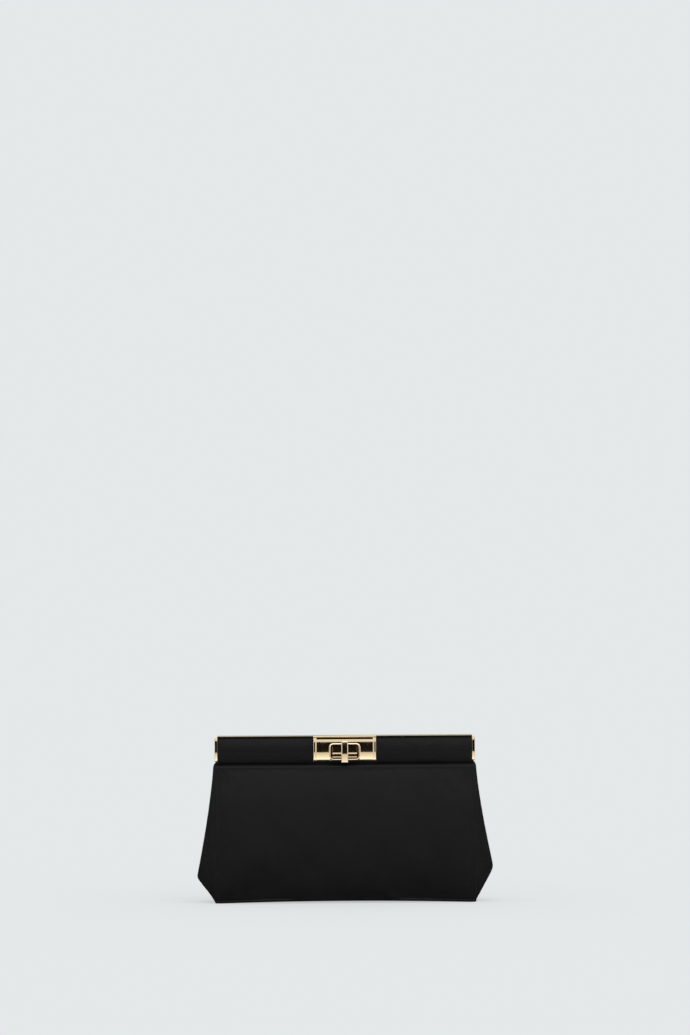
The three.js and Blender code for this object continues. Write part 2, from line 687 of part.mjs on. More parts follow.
const pin = hingePin();
const washer = hingeWasher();
const fold = gusset();
const foldLining = gussetLining();
for (const [word, side] of [['left', -1], ['right', 1]]) {
  const place = (geometry) => (side > 0 ? geometry : mirroredInX(geometry));
  add(group, `hinge_pin_${word}`, place(pin), STEEL);
  add(group, `hinge_washer_${word}`, place(washer), STEEL);
  add(group, `${word}_gusset`, place(fold), BLACK_SATIN);
  add(group, `${word}_gusset_lining`, place(foldLining), BLACK_LINING);
}

for (const [half, parent] of [['front', frontHalf], ['back', backHalf]]) {
  add(parent, `${half}_panel`, panel(), BLACK_SATIN);
  add(parent, `${half}_board`, board(), BOARD);
  add(parent, `${half}_lining`, lining(), BLACK_LINING);
}
add(backHalf, 'slip_pocket', slipPocket(), BLACK_LINING);
add(group, 'base_panel', base(BASE_PANEL), BLACK_SATIN);
add(group, 'base_board', base(BASE_BOARD), BOARD);
add(group, 'base_lining', base(BASE_LINING), BLACK_LINING);

export default group;
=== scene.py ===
import json
import math

import bmesh
import bpy
import numpy as np
from mathutils import Matrix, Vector
from mathutils.bvhtree import BVHTree


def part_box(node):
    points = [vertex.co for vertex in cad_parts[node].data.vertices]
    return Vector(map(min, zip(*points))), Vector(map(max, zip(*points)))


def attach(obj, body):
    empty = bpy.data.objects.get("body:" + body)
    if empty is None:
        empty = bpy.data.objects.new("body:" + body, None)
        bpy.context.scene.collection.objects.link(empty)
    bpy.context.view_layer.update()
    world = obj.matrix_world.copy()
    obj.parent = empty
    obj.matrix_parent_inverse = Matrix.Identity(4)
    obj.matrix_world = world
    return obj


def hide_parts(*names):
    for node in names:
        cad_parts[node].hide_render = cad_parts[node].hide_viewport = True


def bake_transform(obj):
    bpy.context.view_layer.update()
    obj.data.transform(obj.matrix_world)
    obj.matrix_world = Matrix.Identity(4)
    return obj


# A black satin clutch on a gold frame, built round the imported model. Shapes are worked out in
# millimetres in the model's own frame, and turned into metres where a mesh is made.
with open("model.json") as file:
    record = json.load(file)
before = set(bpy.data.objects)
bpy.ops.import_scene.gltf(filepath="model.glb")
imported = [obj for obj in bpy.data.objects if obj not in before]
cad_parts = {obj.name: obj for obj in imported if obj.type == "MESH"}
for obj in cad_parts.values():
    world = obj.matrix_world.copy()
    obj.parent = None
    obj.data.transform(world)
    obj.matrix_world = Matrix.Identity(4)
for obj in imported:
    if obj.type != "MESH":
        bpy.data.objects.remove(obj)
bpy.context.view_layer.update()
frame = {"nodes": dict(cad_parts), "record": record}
nodes = frame["nodes"]
scene = bpy.context.scene
MM = 0.001


def low(node):
    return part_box(node)[0] / MM


def high(node):
    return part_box(node)[1] / MM


def face_at(node, x, z):
    """Half the depth of a front wall's outer face at a place, in millimetres."""
    mesh = nodes[node].data
    points = [v.co for v in mesh.vertices]
    tree = BVHTree.FromPolygons(points, [tuple(p.vertices) for p in mesh.polygons])
    hit = tree.ray_cast((x * MM, -1.0, z * MM), (0, 1, 0))[0]
    return -hit.y / MM


# ---- driving sizes ----

BAR_HALF_WIDTH = high("front_end_cap_right").x
BAR_TOP = high("front_rail").z
CAP_INNER = low("front_end_cap_right").x
CAP_BOTTOM = low("front_end_cap_right").z

BASE_DEPTH = -low("front_panel").y
BELLY_POWER = 1.5
BELLY_TOP_Z = 100
SHOULDER_Z = 104.3
SHOULDER_END_Z = 107.9
SHOULDER_SETBACK = 0.6
FLARE = 0.4
FLARE_FROM_Z = 89.0
# A place on the walls beside the lock, and a height inside the rail's channel.
BESIDE_LOCK_X = 50
CHANNEL_Z = 115
SHOULDER_DEPTH = face_at("front_panel", BESIDE_LOCK_X, BELLY_TOP_Z) - SHOULDER_SETBACK
CHANNEL_DEPTH = face_at("front_panel", BESIDE_LOCK_X, CHANNEL_Z)
# The wall narrows to clear the frame's arms and then to go into the channel.
NECK_HEIGHTS = (107.5, 108.2, 108.7, 110.0)
NECK_HALF_WIDTHS = (BAR_HALF_WIDTH, 99.9, 96.8, 92.3)
CLOTH_TOP = high("front_panel").z - 0.5

SEAM_X = 100.8
SEAM_TUCK = 0.9
EDGE_ROLL = 1.3
ARCH = 1.5
ARCH_HEIGHT = 22.0

BODIES = {"front": "front_frame", "back": "back_frame"}

# Each gusset's fold: how far out it stands at the neck and at its tip, and how round the tip is.
FOLDS = {
    "left": {"side": -1, "neck": 102.8, "tip": 115.9, "tip_z": 18.9, "round": 0.3},
    "right": {"side": 1, "neck": 102.4, "tip": 115.5, "tip_z": 25.4, "round": 0.9},
}
FOLD_POWER = 1.3
NECK_Z = 104.0


def smoothstep(value, start, end):
    t = np.clip((value - start) / (end - start), 0, 1)
    return t * t * (3 - 2 * t)


def wall_depth(z, inset=0.0, channel=None):
    """Half the bag's depth at a height: a belly, a slight flare, a shoulder and the rail's channel."""
    channel = CHANNEL_DEPTH if channel is None else channel
    rise = (np.clip(z, 0, SHOULDER_Z) / BELLY_TOP_Z) ** BELLY_POWER
    belly = BASE_DEPTH - (BASE_DEPTH - SHOULDER_DEPTH) * rise - inset
    belly += FLARE * (np.clip(z - FLARE_FROM_Z, 0, None) / (SHOULDER_Z - FLARE_FROM_Z)) ** 2
    over = smoothstep(z, SHOULDER_Z, SHOULDER_END_Z)
    return belly * (1 - over) + channel * over


def arch(x, z):
    """The bottom lifts a little between the corners, and less and less further up."""
    return ARCH * (1 - (x / BAR_HALF_WIDTH) ** 2) * (1 - smoothstep(z, 0, ARCH_HEIGHT))


# ---- meshes ----

def new_piece(name, points, faces):
    """A smooth-shaded object from points in millimetres."""
    mesh = bpy.data.meshes.new(name)
    mesh.from_pydata((np.asarray(points, float) * MM).tolist(), [], faces)
    mesh.shade_smooth()
    piece = bpy.data.objects.new(name, mesh)
    scene.collection.objects.link(piece)
    return piece


def running_length(grid, axis):
    steps = np.diff(grid, axis=axis, prepend=np.take(grid, [0], axis=axis))
    return np.cumsum(np.linalg.norm(steps, axis=2), axis=axis)


def sheet_piece(name, grid, leave_out=None):
    """A sheet through rows of points. Its UV map is the flat cloth, in metres."""
    rows, columns = grid.shape[:2]
    index = np.arange(rows * columns).reshape(rows, columns)
    faces = []
    for r in range(rows - 1):
        for c in range(columns - 1):
            if leave_out is None or not leave_out(grid[r:r + 2, c:c + 2].mean((0, 1))):
                faces.append((index[r, c], index[r, c + 1], index[r + 1, c + 1], index[r + 1, c]))
    used = np.unique(faces)
    place = np.zeros(rows * columns, int)
    place[used] = np.arange(len(used))
    piece = new_piece(name, grid.reshape(-1, 3)[used], place[np.array(faces)].tolist())
    across = running_length(grid, 1)
    across = across - across[:, [columns // 2]]
    flat = np.stack([across, running_length(grid, 0)], 2).reshape(-1, 2)[used] * MM
    write_uv(piece, flat)
    return piece


def write_uv(piece, flat):
    layer = piece.data.uv_layers.new(name="flat")
    corners = np.zeros(len(piece.data.loops), int)
    piece.data.loops.foreach_get("vertex_index", corners)
    layer.data.foreach_set("uv", flat[corners].ravel())


def subdivide(piece):
    smooth = piece.modifiers.new("smooth", "SUBSURF")
    smooth.levels = smooth.render_levels = 1


def thicken(piece, thickness):
    """Cloth of a real thickness on the inner side, with soft edges."""
    solid = piece.modifiers.new("thickness", "SOLIDIFY")
    solid.thickness = thickness * MM
    solid.offset = -1
    subdivide(piece)


def close(piece, sharp_angle):
    """Outward faces and crisp edges on a closed metal or padded form."""
    work = bmesh.new()
    work.from_mesh(piece.data)
    bmesh.ops.remove_doubles(work, verts=work.verts, dist=1e-6)
    bmesh.ops.recalc_face_normals(work, faces=work.faces)
    work.to_mesh(piece.data)
    work.free()
    piece.data.set_sharp_from_angle(angle=math.radians(sharp_angle))


def slab_piece(name, columns, heights, front, back, sharp_angle):
    """A closed plate across X and Z. heights(x) gives the rows' heights in a column, or is a list for
    all, and front(x, z) and back(x, z) give the faces' y."""
    levels = list(zip(*[heights(x) if callable(heights) else heights for x in columns]))
    points = np.array([
        [[(x, face(x, z), z) for x, z in zip(columns, row)] for row in levels] for face in (front, back)
    ], float)
    _, rows, width, _ = points.shape
    index = np.arange(2 * rows * width).reshape(2, rows, width)
    f, b = index
    faces = []
    for r in range(rows - 1):
        for c in range(width - 1):
            faces.append((f[r, c], f[r, c + 1], f[r + 1, c + 1], f[r + 1, c]))
            faces.append((b[r, c], b[r + 1, c], b[r + 1, c + 1], b[r, c + 1]))
    rim = [*[(0, c) for c in range(width)], *[(r, width - 1) for r in range(1, rows)]]
    rim += [(rows - 1, c) for c in range(width - 2, -1, -1)]
    rim += [(r, 0) for r in range(rows - 2, 0, -1)]
    for (r0, c0), (r1, c1) in zip(rim, rim[1:] + rim[:1]):
        faces.append((f[r0, c0], b[r0, c0], b[r1, c1], f[r1, c1]))
    piece = new_piece(name, points.reshape(-1, 3), [tuple(map(int, face)) for face in faces])
    write_uv(piece, points.reshape(-1, 3)[:, [0, 2]] * MM)
    close(piece, sharp_angle)
    return piece


def rounding(distance, radius):
    """How far a face draws back, at a distance inside its rounded edge."""
    inside = radius - min(max(distance, 0.0), radius)
    return radius - math.sqrt(radius ** 2 - inside ** 2)


def edge_to_edge(first, last, radius, steps, turns=4):
    """Places from edge to edge, closer together where each edge is rounded."""
    bend = [radius * (1 - math.cos(math.pi / 2 * i / turns)) for i in range(turns + 1)]
    middle = np.linspace(first + radius, last - radius, steps + 1)[1:-1]
    return [*[first + b for b in bend], *middle, *[last - b for b in reversed(bend)]]


def rounded_rectangle(width, height, radius, turns=8):
    """Its outline as (point, outward direction) pairs, anticlockwise."""
    outline = []
    centres = [(1, 1), (-1, 1), (-1, -1), (1, -1)]
    for quarter, (side, up) in enumerate(centres):
        centre = np.array([side * (width / 2 - radius), up * (height / 2 - radius)])
        for i in range(turns + 1):
            angle = math.pi / 2 * (quarter + i / turns)
            way = np.array([math.cos(angle), math.sin(angle)])
            outline.append((centre + radius * way, way))
    return outline


def band_faces(rings, sides, closed=False):
    """The faces between neighbouring rings of points."""
    faces = []
    for i in range(rings if closed else rings - 1):
        a, b = i * sides, (i + 1) % rings * sides
        for j in range(sides):
            k = (j + 1) % sides
            faces.append((a + j, a + k, b + k, b + j))
    return faces


def turned_round(points):
    """The same shape on the back half: turned by half a turn about Z."""
    return points * np.array([-1, -1, 1])


def turn_piece_round(piece):
    set_points(piece, turned_round(points_of(piece)))


def points_of(piece):
    points = np.zeros(len(piece.data.vertices) * 3)
    piece.data.vertices.foreach_get("co", points)
    return points.reshape(-1, 3)


def set_points(piece, points):
    piece.data.vertices.foreach_set("co", points.ravel())
    piece.data.update()


# ---- cloth simulation ----

CLOTH = {
    "quality": 6, "mass": 0.002, "tension_stiffness": 8, "compression_stiffness": 8,
    "shear_stiffness": 4, "bending_stiffness": 0.008,
}


def settle(piece, is_pinned, pressure, reach, slack=0.003, frames=16):
    """Lets the cloth find its shape under a light pressure from inside. Its seams stay where they
    are, and no point moves further than reach, in millimetres."""
    rest = points_of(piece)
    group = piece.vertex_groups.new(name="pinned")
    group.add([i for i, point in enumerate(rest / MM) if is_pinned(*point)], 1.0, "REPLACE")
    cloth = piece.modifiers.new("settle", "CLOTH")
    sim = cloth.settings
    for name, value in CLOTH.items():
        setattr(sim, name, value)
    sim.vertex_group_mass = group.name
    sim.shrink_min = -slack
    sim.use_pressure = True
    sim.uniform_pressure_force = pressure
    sim.effector_weights.gravity = 0
    cloth.collision_settings.use_collision = False
    cloth.point_cache.frame_start = 1
    cloth.point_cache.frame_end = frames
    for number in range(1, frames + 1):
        scene.frame_set(number)
    shaped = piece.evaluated_get(bpy.context.evaluated_depsgraph_get())
    moved = points_of(shaped) - rest
    length = np.maximum(np.linalg.norm(moved, axis=1, keepdims=True), 1e-9)
    moved *= np.tanh(length / (reach * MM)) * reach * MM / length
    piece.modifiers.remove(cloth)
    piece.vertex_groups.remove(group)
    scene.frame_set(1)
    set_points(piece, rest + moved)


# ---- materials ----

PER_MM = (1000, 1000, 1000)


class Shading:
    """A node material, with a short call to add a node to it."""

    def __init__(self, name):
        self.material = bpy.data.materials.new(name)
        self.material.use_nodes = True
        self.tree = self.material.node_tree

    def add(self, kind, inputs=(), **settings):
        node = self.tree.nodes.new("ShaderNode" + kind)
        for name, value in settings.items():
            setattr(node, name, value)
        for socket, value in dict(inputs).items():
            self.feed(node, socket, value)
        return node

    def feed(self, node, socket, value):
        if isinstance(value, bpy.types.NodeSocket):
            self.tree.links.new(value, node.inputs[socket])
        else:
            node.inputs[socket].default_value = value


class Surface(Shading):
    """A Principled shader, with short calls to add the nodes that drive it."""

    def __init__(self, name, color, **sockets):
        super().__init__(name)
        self.shader = self.tree.nodes["Principled BSDF"]
        self.shader.inputs["Base Color"].default_value = (*color, 1)
        for socket, value in sockets.items():
            self.shader.inputs[socket.replace("_", " ")].default_value = value

    def finish(self, tone, roughness, normal):
        for source, socket in ((tone, "Base Color"), (roughness, "Roughness"), (normal, "Normal")):
            self.tree.links.new(source, self.shader.inputs[socket])
        return self.material

    def place(self, output, scale):
        """Texture coordinates in metres, stretched by a scale on each axis."""
        source = self.add("TexCoord").outputs[output]
        return self.add("VectorMath", {0: source, 1: scale}, operation="MULTIPLY").outputs[0]

    def noise(self, output, scale, detail=3.0, roughness=0.55, stretch=(1, 1, 1)):
        vector = self.place(output, stretch)
        inputs = {"Vector": vector, "Scale": scale, "Detail": detail, "Roughness": roughness}
        return self.add("TexNoise", inputs).outputs["Fac"]

    def ranged(self, value, low_value, high_value, from_low=0.3, from_high=0.7):
        inputs = {"Value": value, "From Min": from_low, "From Max": from_high,
                  "To Min": low_value, "To Max": high_value}
        return self.add("MapRange", inputs).outputs[0]

    def mixed(self, factor, first, second):
        node = self.add("Mix", data_type="RGBA")
        self.tree.links.new(factor, node.inputs[0])
        for socket, value in ((6, first), (7, second)):
            self.feed(node, socket, (*value, 1) if isinstance(value, tuple) else value)
        return node.outputs[2]

    def wave(self, output, direction, scale, distortion=0.0):
        vector = self.place(output, PER_MM)
        inputs = {"Vector": vector, "Scale": scale, "Distortion": distortion}
        return self.add("TexWave", inputs, bands_direction=direction).outputs["Fac"]

    def edges(self, start, end):
        """0 on faces and 1 on outer edges, where wear shows."""
        sharpness = self.add("NewGeometry").outputs["Pointiness"]
        return self.ranged(sharpness, 0.0, 1.0, start, end)

    def bump(self, height, strength, distance):
        return self.add("Bump", {"Height": height, "Strength": strength, "Distance": distance}).outputs[0]

    def sum(self, first, second, share):
        inputs = {0: second, 1: share, 2: first}
        return self.add("Math", inputs, operation="MULTIPLY_ADD").outputs[0]


def satin():
    """Black duchess satin: long floats across, a fine rib, and a soft sheen."""
    cloth = Surface("satin_black", (0.005, 0.005, 0.0053), Roughness=0.45, Specular_IOR_Level=0.15,
                    Sheen_Weight=0.005, Sheen_Roughness=0.4, Anisotropic=0.35)
    floats = cloth.add("TexBrick", {
        "Vector": cloth.place("UV", PER_MM), "Scale": 1.0, "Mortar Size": 0.05, "Mortar Smooth": 0.8,
        "Brick Width": 1.3, "Row Height": 0.26,
    }, offset=0.5).outputs["Fac"]
    rib = cloth.wave("UV", "Y", 1.1, 0.4)
    slub = cloth.noise("UV", 1.0, 4.0, stretch=(60, 900, 1))
    cloud = cloth.noise("UV", 38.0, 2.0)
    tone = cloth.mixed(cloth.ranged(cloud, 0, 1), (0.0040, 0.0040, 0.0043), (0.0056, 0.0055, 0.0056))
    tone = cloth.mixed(cloth.ranged(slub, 0, 0.35), tone, (0.0072, 0.0071, 0.0072))
    tone = cloth.mixed(cloth.edges(0.53, 0.62), tone, (0.012, 0.0115, 0.011))
    roughness = cloth.ranged(cloth.sum(cloud, slub, 0.5), 0.38, 0.52, 0.4, 1.0)
    weave = cloth.sum(cloth.sum(rib, floats, -0.8), slub, 0.5)
    return cloth.finish(tone, roughness, cloth.bump(weave, 0.35, 0.00004))


def lining_cloth():
    """Thin black lining with a diagonal twill."""
    cloth = Surface("lining_black", (0.006, 0.006, 0.0065), Roughness=0.62, Specular_IOR_Level=0.3,
                    Sheen_Weight=0.08, Sheen_Roughness=0.5)
    twill = cloth.wave("UV", "DIAGONAL", 0.75, 0.3)
    cloud = cloth.noise("UV", 55.0, 3.0)
    tone = cloth.mixed(cloth.ranged(cloud, 0, 1), (0.005, 0.005, 0.0056), (0.011, 0.0108, 0.011))
    weave = cloth.bump(cloth.sum(twill, cloud, 0.6), 0.4, 0.00006)
    return cloth.finish(tone, cloth.ranged(cloud, 0.55, 0.7), weave)


def gold():
    """Polished light-gold plating with hairline scratches and brighter worn edges."""
    metal = Surface("gold_polished", (0.91, 0.735, 0.48), Metallic=1.0, Roughness=0.08)
    hairs = metal.noise("Object", 1.0, 5.0, 0.7, stretch=(250, 250, 9000))
    smear = metal.noise("Object", 160.0, 3.0)
    tone = metal.mixed(metal.ranged(smear, 0, 1), (0.90, 0.725, 0.465), (0.92, 0.755, 0.51))
    tone = metal.mixed(metal.edges(0.54, 0.66), tone, (0.96, 0.86, 0.68))
    roughness = metal.ranged(metal.sum(smear, hairs, 0.6), 0.045, 0.1, 0.5, 1.1)
    return metal.finish(tone, roughness, metal.bump(hairs, 0.12, 0.00001))


def steel():
    """Nickel-plated steel, brushed along its length, duller where it is handled least."""
    metal = Surface("steel_brushed", (0.62, 0.61, 0.6), Metallic=1.0, Roughness=0.34)
    brushed = metal.noise("Object", 1.0, 6.0, 0.65, stretch=(60, 2500, 2500))
    cloud = metal.noise("Object", 90.0, 4.0)
    tone = metal.mixed(metal.ranged(cloud, 0, 1), (0.54, 0.535, 0.53), (0.68, 0.67, 0.655))
    tone = metal.mixed(metal.edges(0.53, 0.64), tone, (0.8, 0.79, 0.78))
    roughness = metal.ranged(metal.sum(cloud, brushed, 0.8), 0.24, 0.44, 0.6, 1.2)
    return metal.finish(tone, roughness, metal.bump(brushed, 0.3, 0.00003))


def board():
    """Grey-brown bag board with pressed fibres and a paler cut edge."""
    fibre = Surface("board_grey", (0.33, 0.29, 0.24), Roughness=0.86, Specular_IOR_Level=0.25)
    strands = fibre.noise("Object", 1.0, 6.0, 0.7, stretch=(400, 2200, 700))
    cloud = fibre.noise("Object", 70.0, 4.0)
    tone = fibre.mixed(fibre.ranged(cloud, 0, 1), (0.27, 0.235, 0.19), (0.39, 0.35, 0.3))
    tone = fibre.mixed(fibre.ranged(strands, 0, 0.5, 0.5, 0.75), tone, (0.5, 0.46, 0.41))
    tone = fibre.mixed(fibre.edges(0.54, 0.64), tone, (0.55, 0.51, 0.46))
    return fibre.finish(tone, fibre.ranged(strands, 0.78, 0.94), fibre.bump(strands, 0.5, 0.00015))


def thread():
    """Black twisted polyester thread, a little glossier than the satin."""
    yarn = Surface("thread_black", (0.009, 0.009, 0.0095), Roughness=0.4, Specular_IOR_Level=0.2)
    twist = yarn.wave("Object", "DIAGONAL", 0.9)
    cloud = yarn.noise("Object", 300.0)
    tone = yarn.mixed(yarn.ranged(cloud, 0, 1), (0.006, 0.006, 0.0065), (0.012, 0.0118, 0.012))
    return yarn.finish(tone, yarn.ranged(twist, 0.32, 0.5, 0, 1), yarn.bump(twist, 0.6, 0.00008))


MATERIALS = {"satin": satin(), "lining": lining_cloth(), "gold": gold(), "steel": steel(),
             "stiffener": board()}
THREAD = thread()


def finish_piece(piece, slot, material=None):
    piece.data.materials.clear()
    piece.data.materials.append(material or MATERIALS[slot])


def soften_edges(piece, width, segments, angle):
    soften = piece.modifiers.new("edges", "BEVEL")
    soften.width = width * MM
    soften.segments = segments
    soften.angle_limit = math.radians(angle)


def bend_with(piece):
    """Bakes the piece's placement into its points."""
    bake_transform(piece)


def finish_sheet(piece, thickness, slot):
    thicken(piece, thickness)
    finish_piece(piece, slot)


def finish_hung_sheet(piece, thickness, slot, node):
    """A thickened sheet that hangs from one half of the frame, with the node it stands for hidden."""
    finish_sheet(piece, thickness, slot)
    bend_with(piece)
    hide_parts(node)


def finish_fitting(piece, slot, body, node):
    finish_piece(piece, slot)
    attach(piece, body)
    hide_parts(node)


# ---- the satin bag ----

SATIN_THICKNESS = 1.0
# (inset, height) up the rolled welt along a wall's bottom
WELT = [(1.9, 0.35), (1.0, 0.1), (0.3, 0.45), (0.0, 1.0), (0.05, 1.6), (0.42, 2.05), (0.12, 2.5)]
WELT_TOP_Z = 3.1
FOOT_TUCK = 0.009
FOOT_TUCK_HEIGHT = 6
# The gap in the walls where the lock's bridge passes: its half width and its lower edge.
LOCK_GAP = 15.5
LOCK_GAP_Z = 110.0

STITCH_X = 98.0
STITCH_LENGTH = 2.5
STITCH_RADIUS = 0.24
STITCH_SUNK = 0.22
STITCH_SLANT = math.radians(7)
STITCH_HEIGHTS = np.arange(6.0, 101.5, 3.4)
# (distance from the stitches, depth) across the groove that they pull in
GROOVE = [(-0.7, 0.06), (0.0, 0.3), (0.7, 0.06), (1.2, 0.0)]


def wall_columns():
    """(x, inset) across a wall: flat, a stitched groove near each side, and a rolled edge."""
    start = BAR_HALF_WIDTH - EDGE_ROLL
    half = [(x, 0.0) for x in np.linspace(0, LOCK_GAP, 5)]
    half += [(x, 0.0) for x in np.linspace(LOCK_GAP, STITCH_X - 1.4, 24)[1:]]
    half += [(STITCH_X + distance, depth) for distance, depth in GROOVE]
    for i in range(1, 5):
        angle = math.pi / 8 * i
        half.append((start + EDGE_ROLL * math.sin(angle), EDGE_ROLL * (1 - math.cos(angle))))
    return [(-x, inset) for x, inset in reversed(half[1:])] + half


def wall_rows():
    """(inset, height) up a wall: the welt, then plain cloth with closer rows over the shoulder."""
    plain = [*np.linspace(WELT_TOP_Z, 97, 36), *np.arange(98.5, 103.5, 1.2)]
    shoulder = [*np.arange(103.9, 108.2, 0.6), 109.2, 110.2, 111.4]
    channel = np.linspace(113, CLOTH_TOP, 3)
    return WELT + [(0.0, z) for z in (*plain, *shoulder, *channel)]


def wall_grid():
    """The satin wall of the front half, drawn in a little at its foot and at its neck."""
    grid = []
    for row_inset, z in wall_rows():
        narrow = np.interp(z, NECK_HEIGHTS, NECK_HALF_WIDTHS) / BAR_HALF_WIDTH
        tuck = 1 - FOOT_TUCK * (1 - smoothstep(z, 0, FOOT_TUCK_HEIGHT))
        row = []
        for x, column_inset in wall_columns():
            inset = row_inset + column_inset
            row.append((x * narrow * tuck, inset - wall_depth(z), z + arch(x, z)))
        grid.append(row)
    return np.array(grid, float)


def wall_is_pinned(x, y, z):
    """Held near the shoulder, along the welt and outside the stitches."""
    return z > SHOULDER_Z - 3.3 or z < WELT_TOP_Z + 0.1 or abs(x) > STITCH_X - 1.5


def over_the_lock(centre):
    return abs(centre[0]) < LOCK_GAP and centre[2] > LOCK_GAP_Z


def make_wall(half):
    grid = wall_grid()
    piece = sheet_piece(f"{half}_panel_cloth", grid, over_the_lock)
    settle(piece, wall_is_pinned, pressure=3.0, reach=1.8)
    if half == "back":
        turn_piece_round(piece)
    finish_hung_sheet(piece, SATIN_THICKNESS, "satin", f"{half}_panel")


def stitches_piece(name, places, radius=STITCH_RADIUS, length=STITCH_LENGTH, rings=5, sides=6):
    """One mesh of short threads that dive into the cloth at both ends; each place is (centre,
    direction along, direction aside)."""
    points, faces = [], []
    stitch = [tuple(range(sides))[::-1], tuple(range((rings - 1) * sides, rings * sides))]
    stitch += band_faces(rings, sides)
    for centre, along, aside in places:
        faces += [tuple(len(points) + i for i in face) for face in stitch]
        up = np.cross(along, aside)
        for t in np.linspace(-1, 1, rings):
            thick = radius * math.sqrt(max(1 - t ** 4, 0.04))
            for angle in 2 * math.pi / sides * np.arange(sides):
                around = math.cos(angle) * aside + math.sin(angle) * up
                points.append(np.array(centre) + along * length / 2 * t + around * thick)
    piece = new_piece(name, points, faces)
    close(piece, 60)
    subdivide(piece)
    return piece


def unit(way):
    return way / np.linalg.norm(way)


def make_wall_stitches(half):
    """A row of slightly slanting stitches up each side of a wall."""
    places = []
    for x in (-STITCH_X, STITCH_X):
        for z in STITCH_HEIGHTS:
            rise = np.array([0, wall_depth(z - 1) - wall_depth(z + 1), 2.0])
            along = unit(unit(rise) + np.array([math.tan(STITCH_SLANT), 0, 0]))
            aside = unit(np.cross(along, [0, -1, 0]))
            places.append(((x, STITCH_SUNK - wall_depth(z), z + arch(x, z)), along, aside))
    piece = stitches_piece(f"{half}_panel_stitching", places)
    if half == "back":
        turn_piece_round(piece)
    finish_piece(piece, "satin", THREAD)
    bend_with(piece)


def soft_min(a, b, width):
    """The smaller of two, with the corner between them rounded."""
    return -width * np.logaddexp(-a / width, -b / width)


def fold_out(fold, z, across):
    """How far out a gusset stands: across is 0 on its fold and 1 on its seam."""
    rise = np.maximum(NECK_Z - z, 0) / (NECK_Z - fold["tip_z"])
    ridge = fold["neck"] + (fold["tip"] - fold["neck"]) * rise ** FOLD_POWER
    upper = SEAM_X + (ridge - SEAM_X) * (1 - across)
    foot = SEAM_X - SEAM_TUCK
    lower = foot + (fold["tip"] - foot) * z / fold["tip_z"]
    return soft_min(upper, lower, fold["round"])


GUSSET_THICKNESS = 0.9
# (how far the cloth has turned in, height) where a gusset curls in under the bar
GUSSET_CURL = [(0.3, 105.3), (0.7, 106.5), (1.5, 107.7), (2.7, 108.9)]
GUSSET_SEAM_GAP = 0.15
LIP_DEPTH = 3.2
LIP_LIMIT_X = 99.8
# The two halves of a gusset keep these gaps from the middle: the cloth, and its lip.
FOLD_GAP = 0.06
FOLD_LIP_GAP = 0.08


def gusset_grid(fold):
    """The front half of a gusset, from its seam to its fold, and a lip inside along the fold."""
    heights = [0.15, 0.6, 1.2, 2.2, 3.6, 5.5, *np.linspace(8, NECK_Z, 44)]
    grid = []
    for curl, z in [(0.0, z) for z in heights] + GUSSET_CURL:
        seam_y = wall_depth(z) - EDGE_ROLL - GUSSET_SEAM_GAP
        row = []
        for across in [*np.linspace(1, 0.08, 11), 0.03, 0.0]:
            x = max(fold_out(fold, z, across) - curl, LIP_LIMIT_X - 0.3 * curl)
            row.append((x, -seam_y * across - FOLD_GAP, z + arch(SEAM_X, z)))
        ridge_x = row[-1][0]
        lip = min(LIP_DEPTH, ridge_x - LIP_LIMIT_X)
        for share in (0.25, 0.6, 1.0):
            row.append((ridge_x - lip * share, -FOLD_LIP_GAP, z))
        grid.append(row)
    return np.array(grid, float)


def mirrored(grid, side, half):
    """A grid made for the right gusset's front half, moved to another side or half."""
    if half == "back":
        grid = (grid * np.array([1, -1, 1]))[:, ::-1]
    if side < 0:
        grid = (grid * np.array([-1, 1, 1]))[:, ::-1]
    return grid


def gusset_is_pinned(x, y, z):
    """Held along the fold, along the seam and at both ends."""
    return abs(y) < 0.5 or abs(abs(y) - wall_depth(z) + EDGE_ROLL) < 1.2 or z < 1 or z > 100


def make_gusset_half(word, half):
    fold = FOLDS[word]
    grid = mirrored(gusset_grid(fold), fold["side"], half)
    piece = sheet_piece(f"{word}_gusset_{half}_cloth", grid)
    settle(piece, gusset_is_pinned, pressure=-5.0, reach=0.9)
    finish_hung_sheet(piece, GUSSET_THICKNESS, "satin", f"{word}_gusset")


BASE_CORNER = 3.0


def base_grid(node, z):
    """A level sheet as large as a node, with rounded corners, that follows the arch of the bottom."""
    half_length, half_depth = high(node).x, high(node).y
    grid = []
    for y in edge_to_edge(half_depth, -half_depth, -BASE_CORNER, 8):
        row = []
        for x in edge_to_edge(-half_length, half_length, BASE_CORNER, 40):
            out_x = max(abs(x) - (half_length - BASE_CORNER), 0) / BASE_CORNER
            out_y = max(abs(y) - (half_depth - BASE_CORNER), 0) / BASE_CORNER
            reach = math.hypot(out_x, out_y)
            pull = max(out_x, out_y) / reach if reach > 0 else 1.0
            near_x = min(abs(x), half_length - BASE_CORNER) + out_x * pull * BASE_CORNER
            near_y = min(abs(y), half_depth - BASE_CORNER) + out_y * pull * BASE_CORNER
            px, py = math.copysign(near_x, x), math.copysign(near_y, y)
            row.append((px, py, z + arch(px, 0)))
        grid.append(row)
    return np.array(grid, float)


def make_base_sheet(node, name, slot, z, thickness, held=None):
    grid = base_grid(node, z)
    piece = sheet_piece(name, grid)
    if held:
        finish_sheet(piece, thickness, slot)
    else:
        thicken(piece, thickness)
        finish_piece(piece, slot)
    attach(piece, "bag")
    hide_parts(node)


def make_base():
    board_z, lining_z = low("base_board").z, low("base_lining").z
    make_base_sheet("base_panel", "base_panel_cloth", "satin", 0.0, 0.9, "stretched")
    make_base_sheet("base_board", "base_board_sheet", "stiffener", board_z, 1.5)
    make_base_sheet("base_lining", "base_lining_cloth", "lining", lining_z, 0.5, "laid")


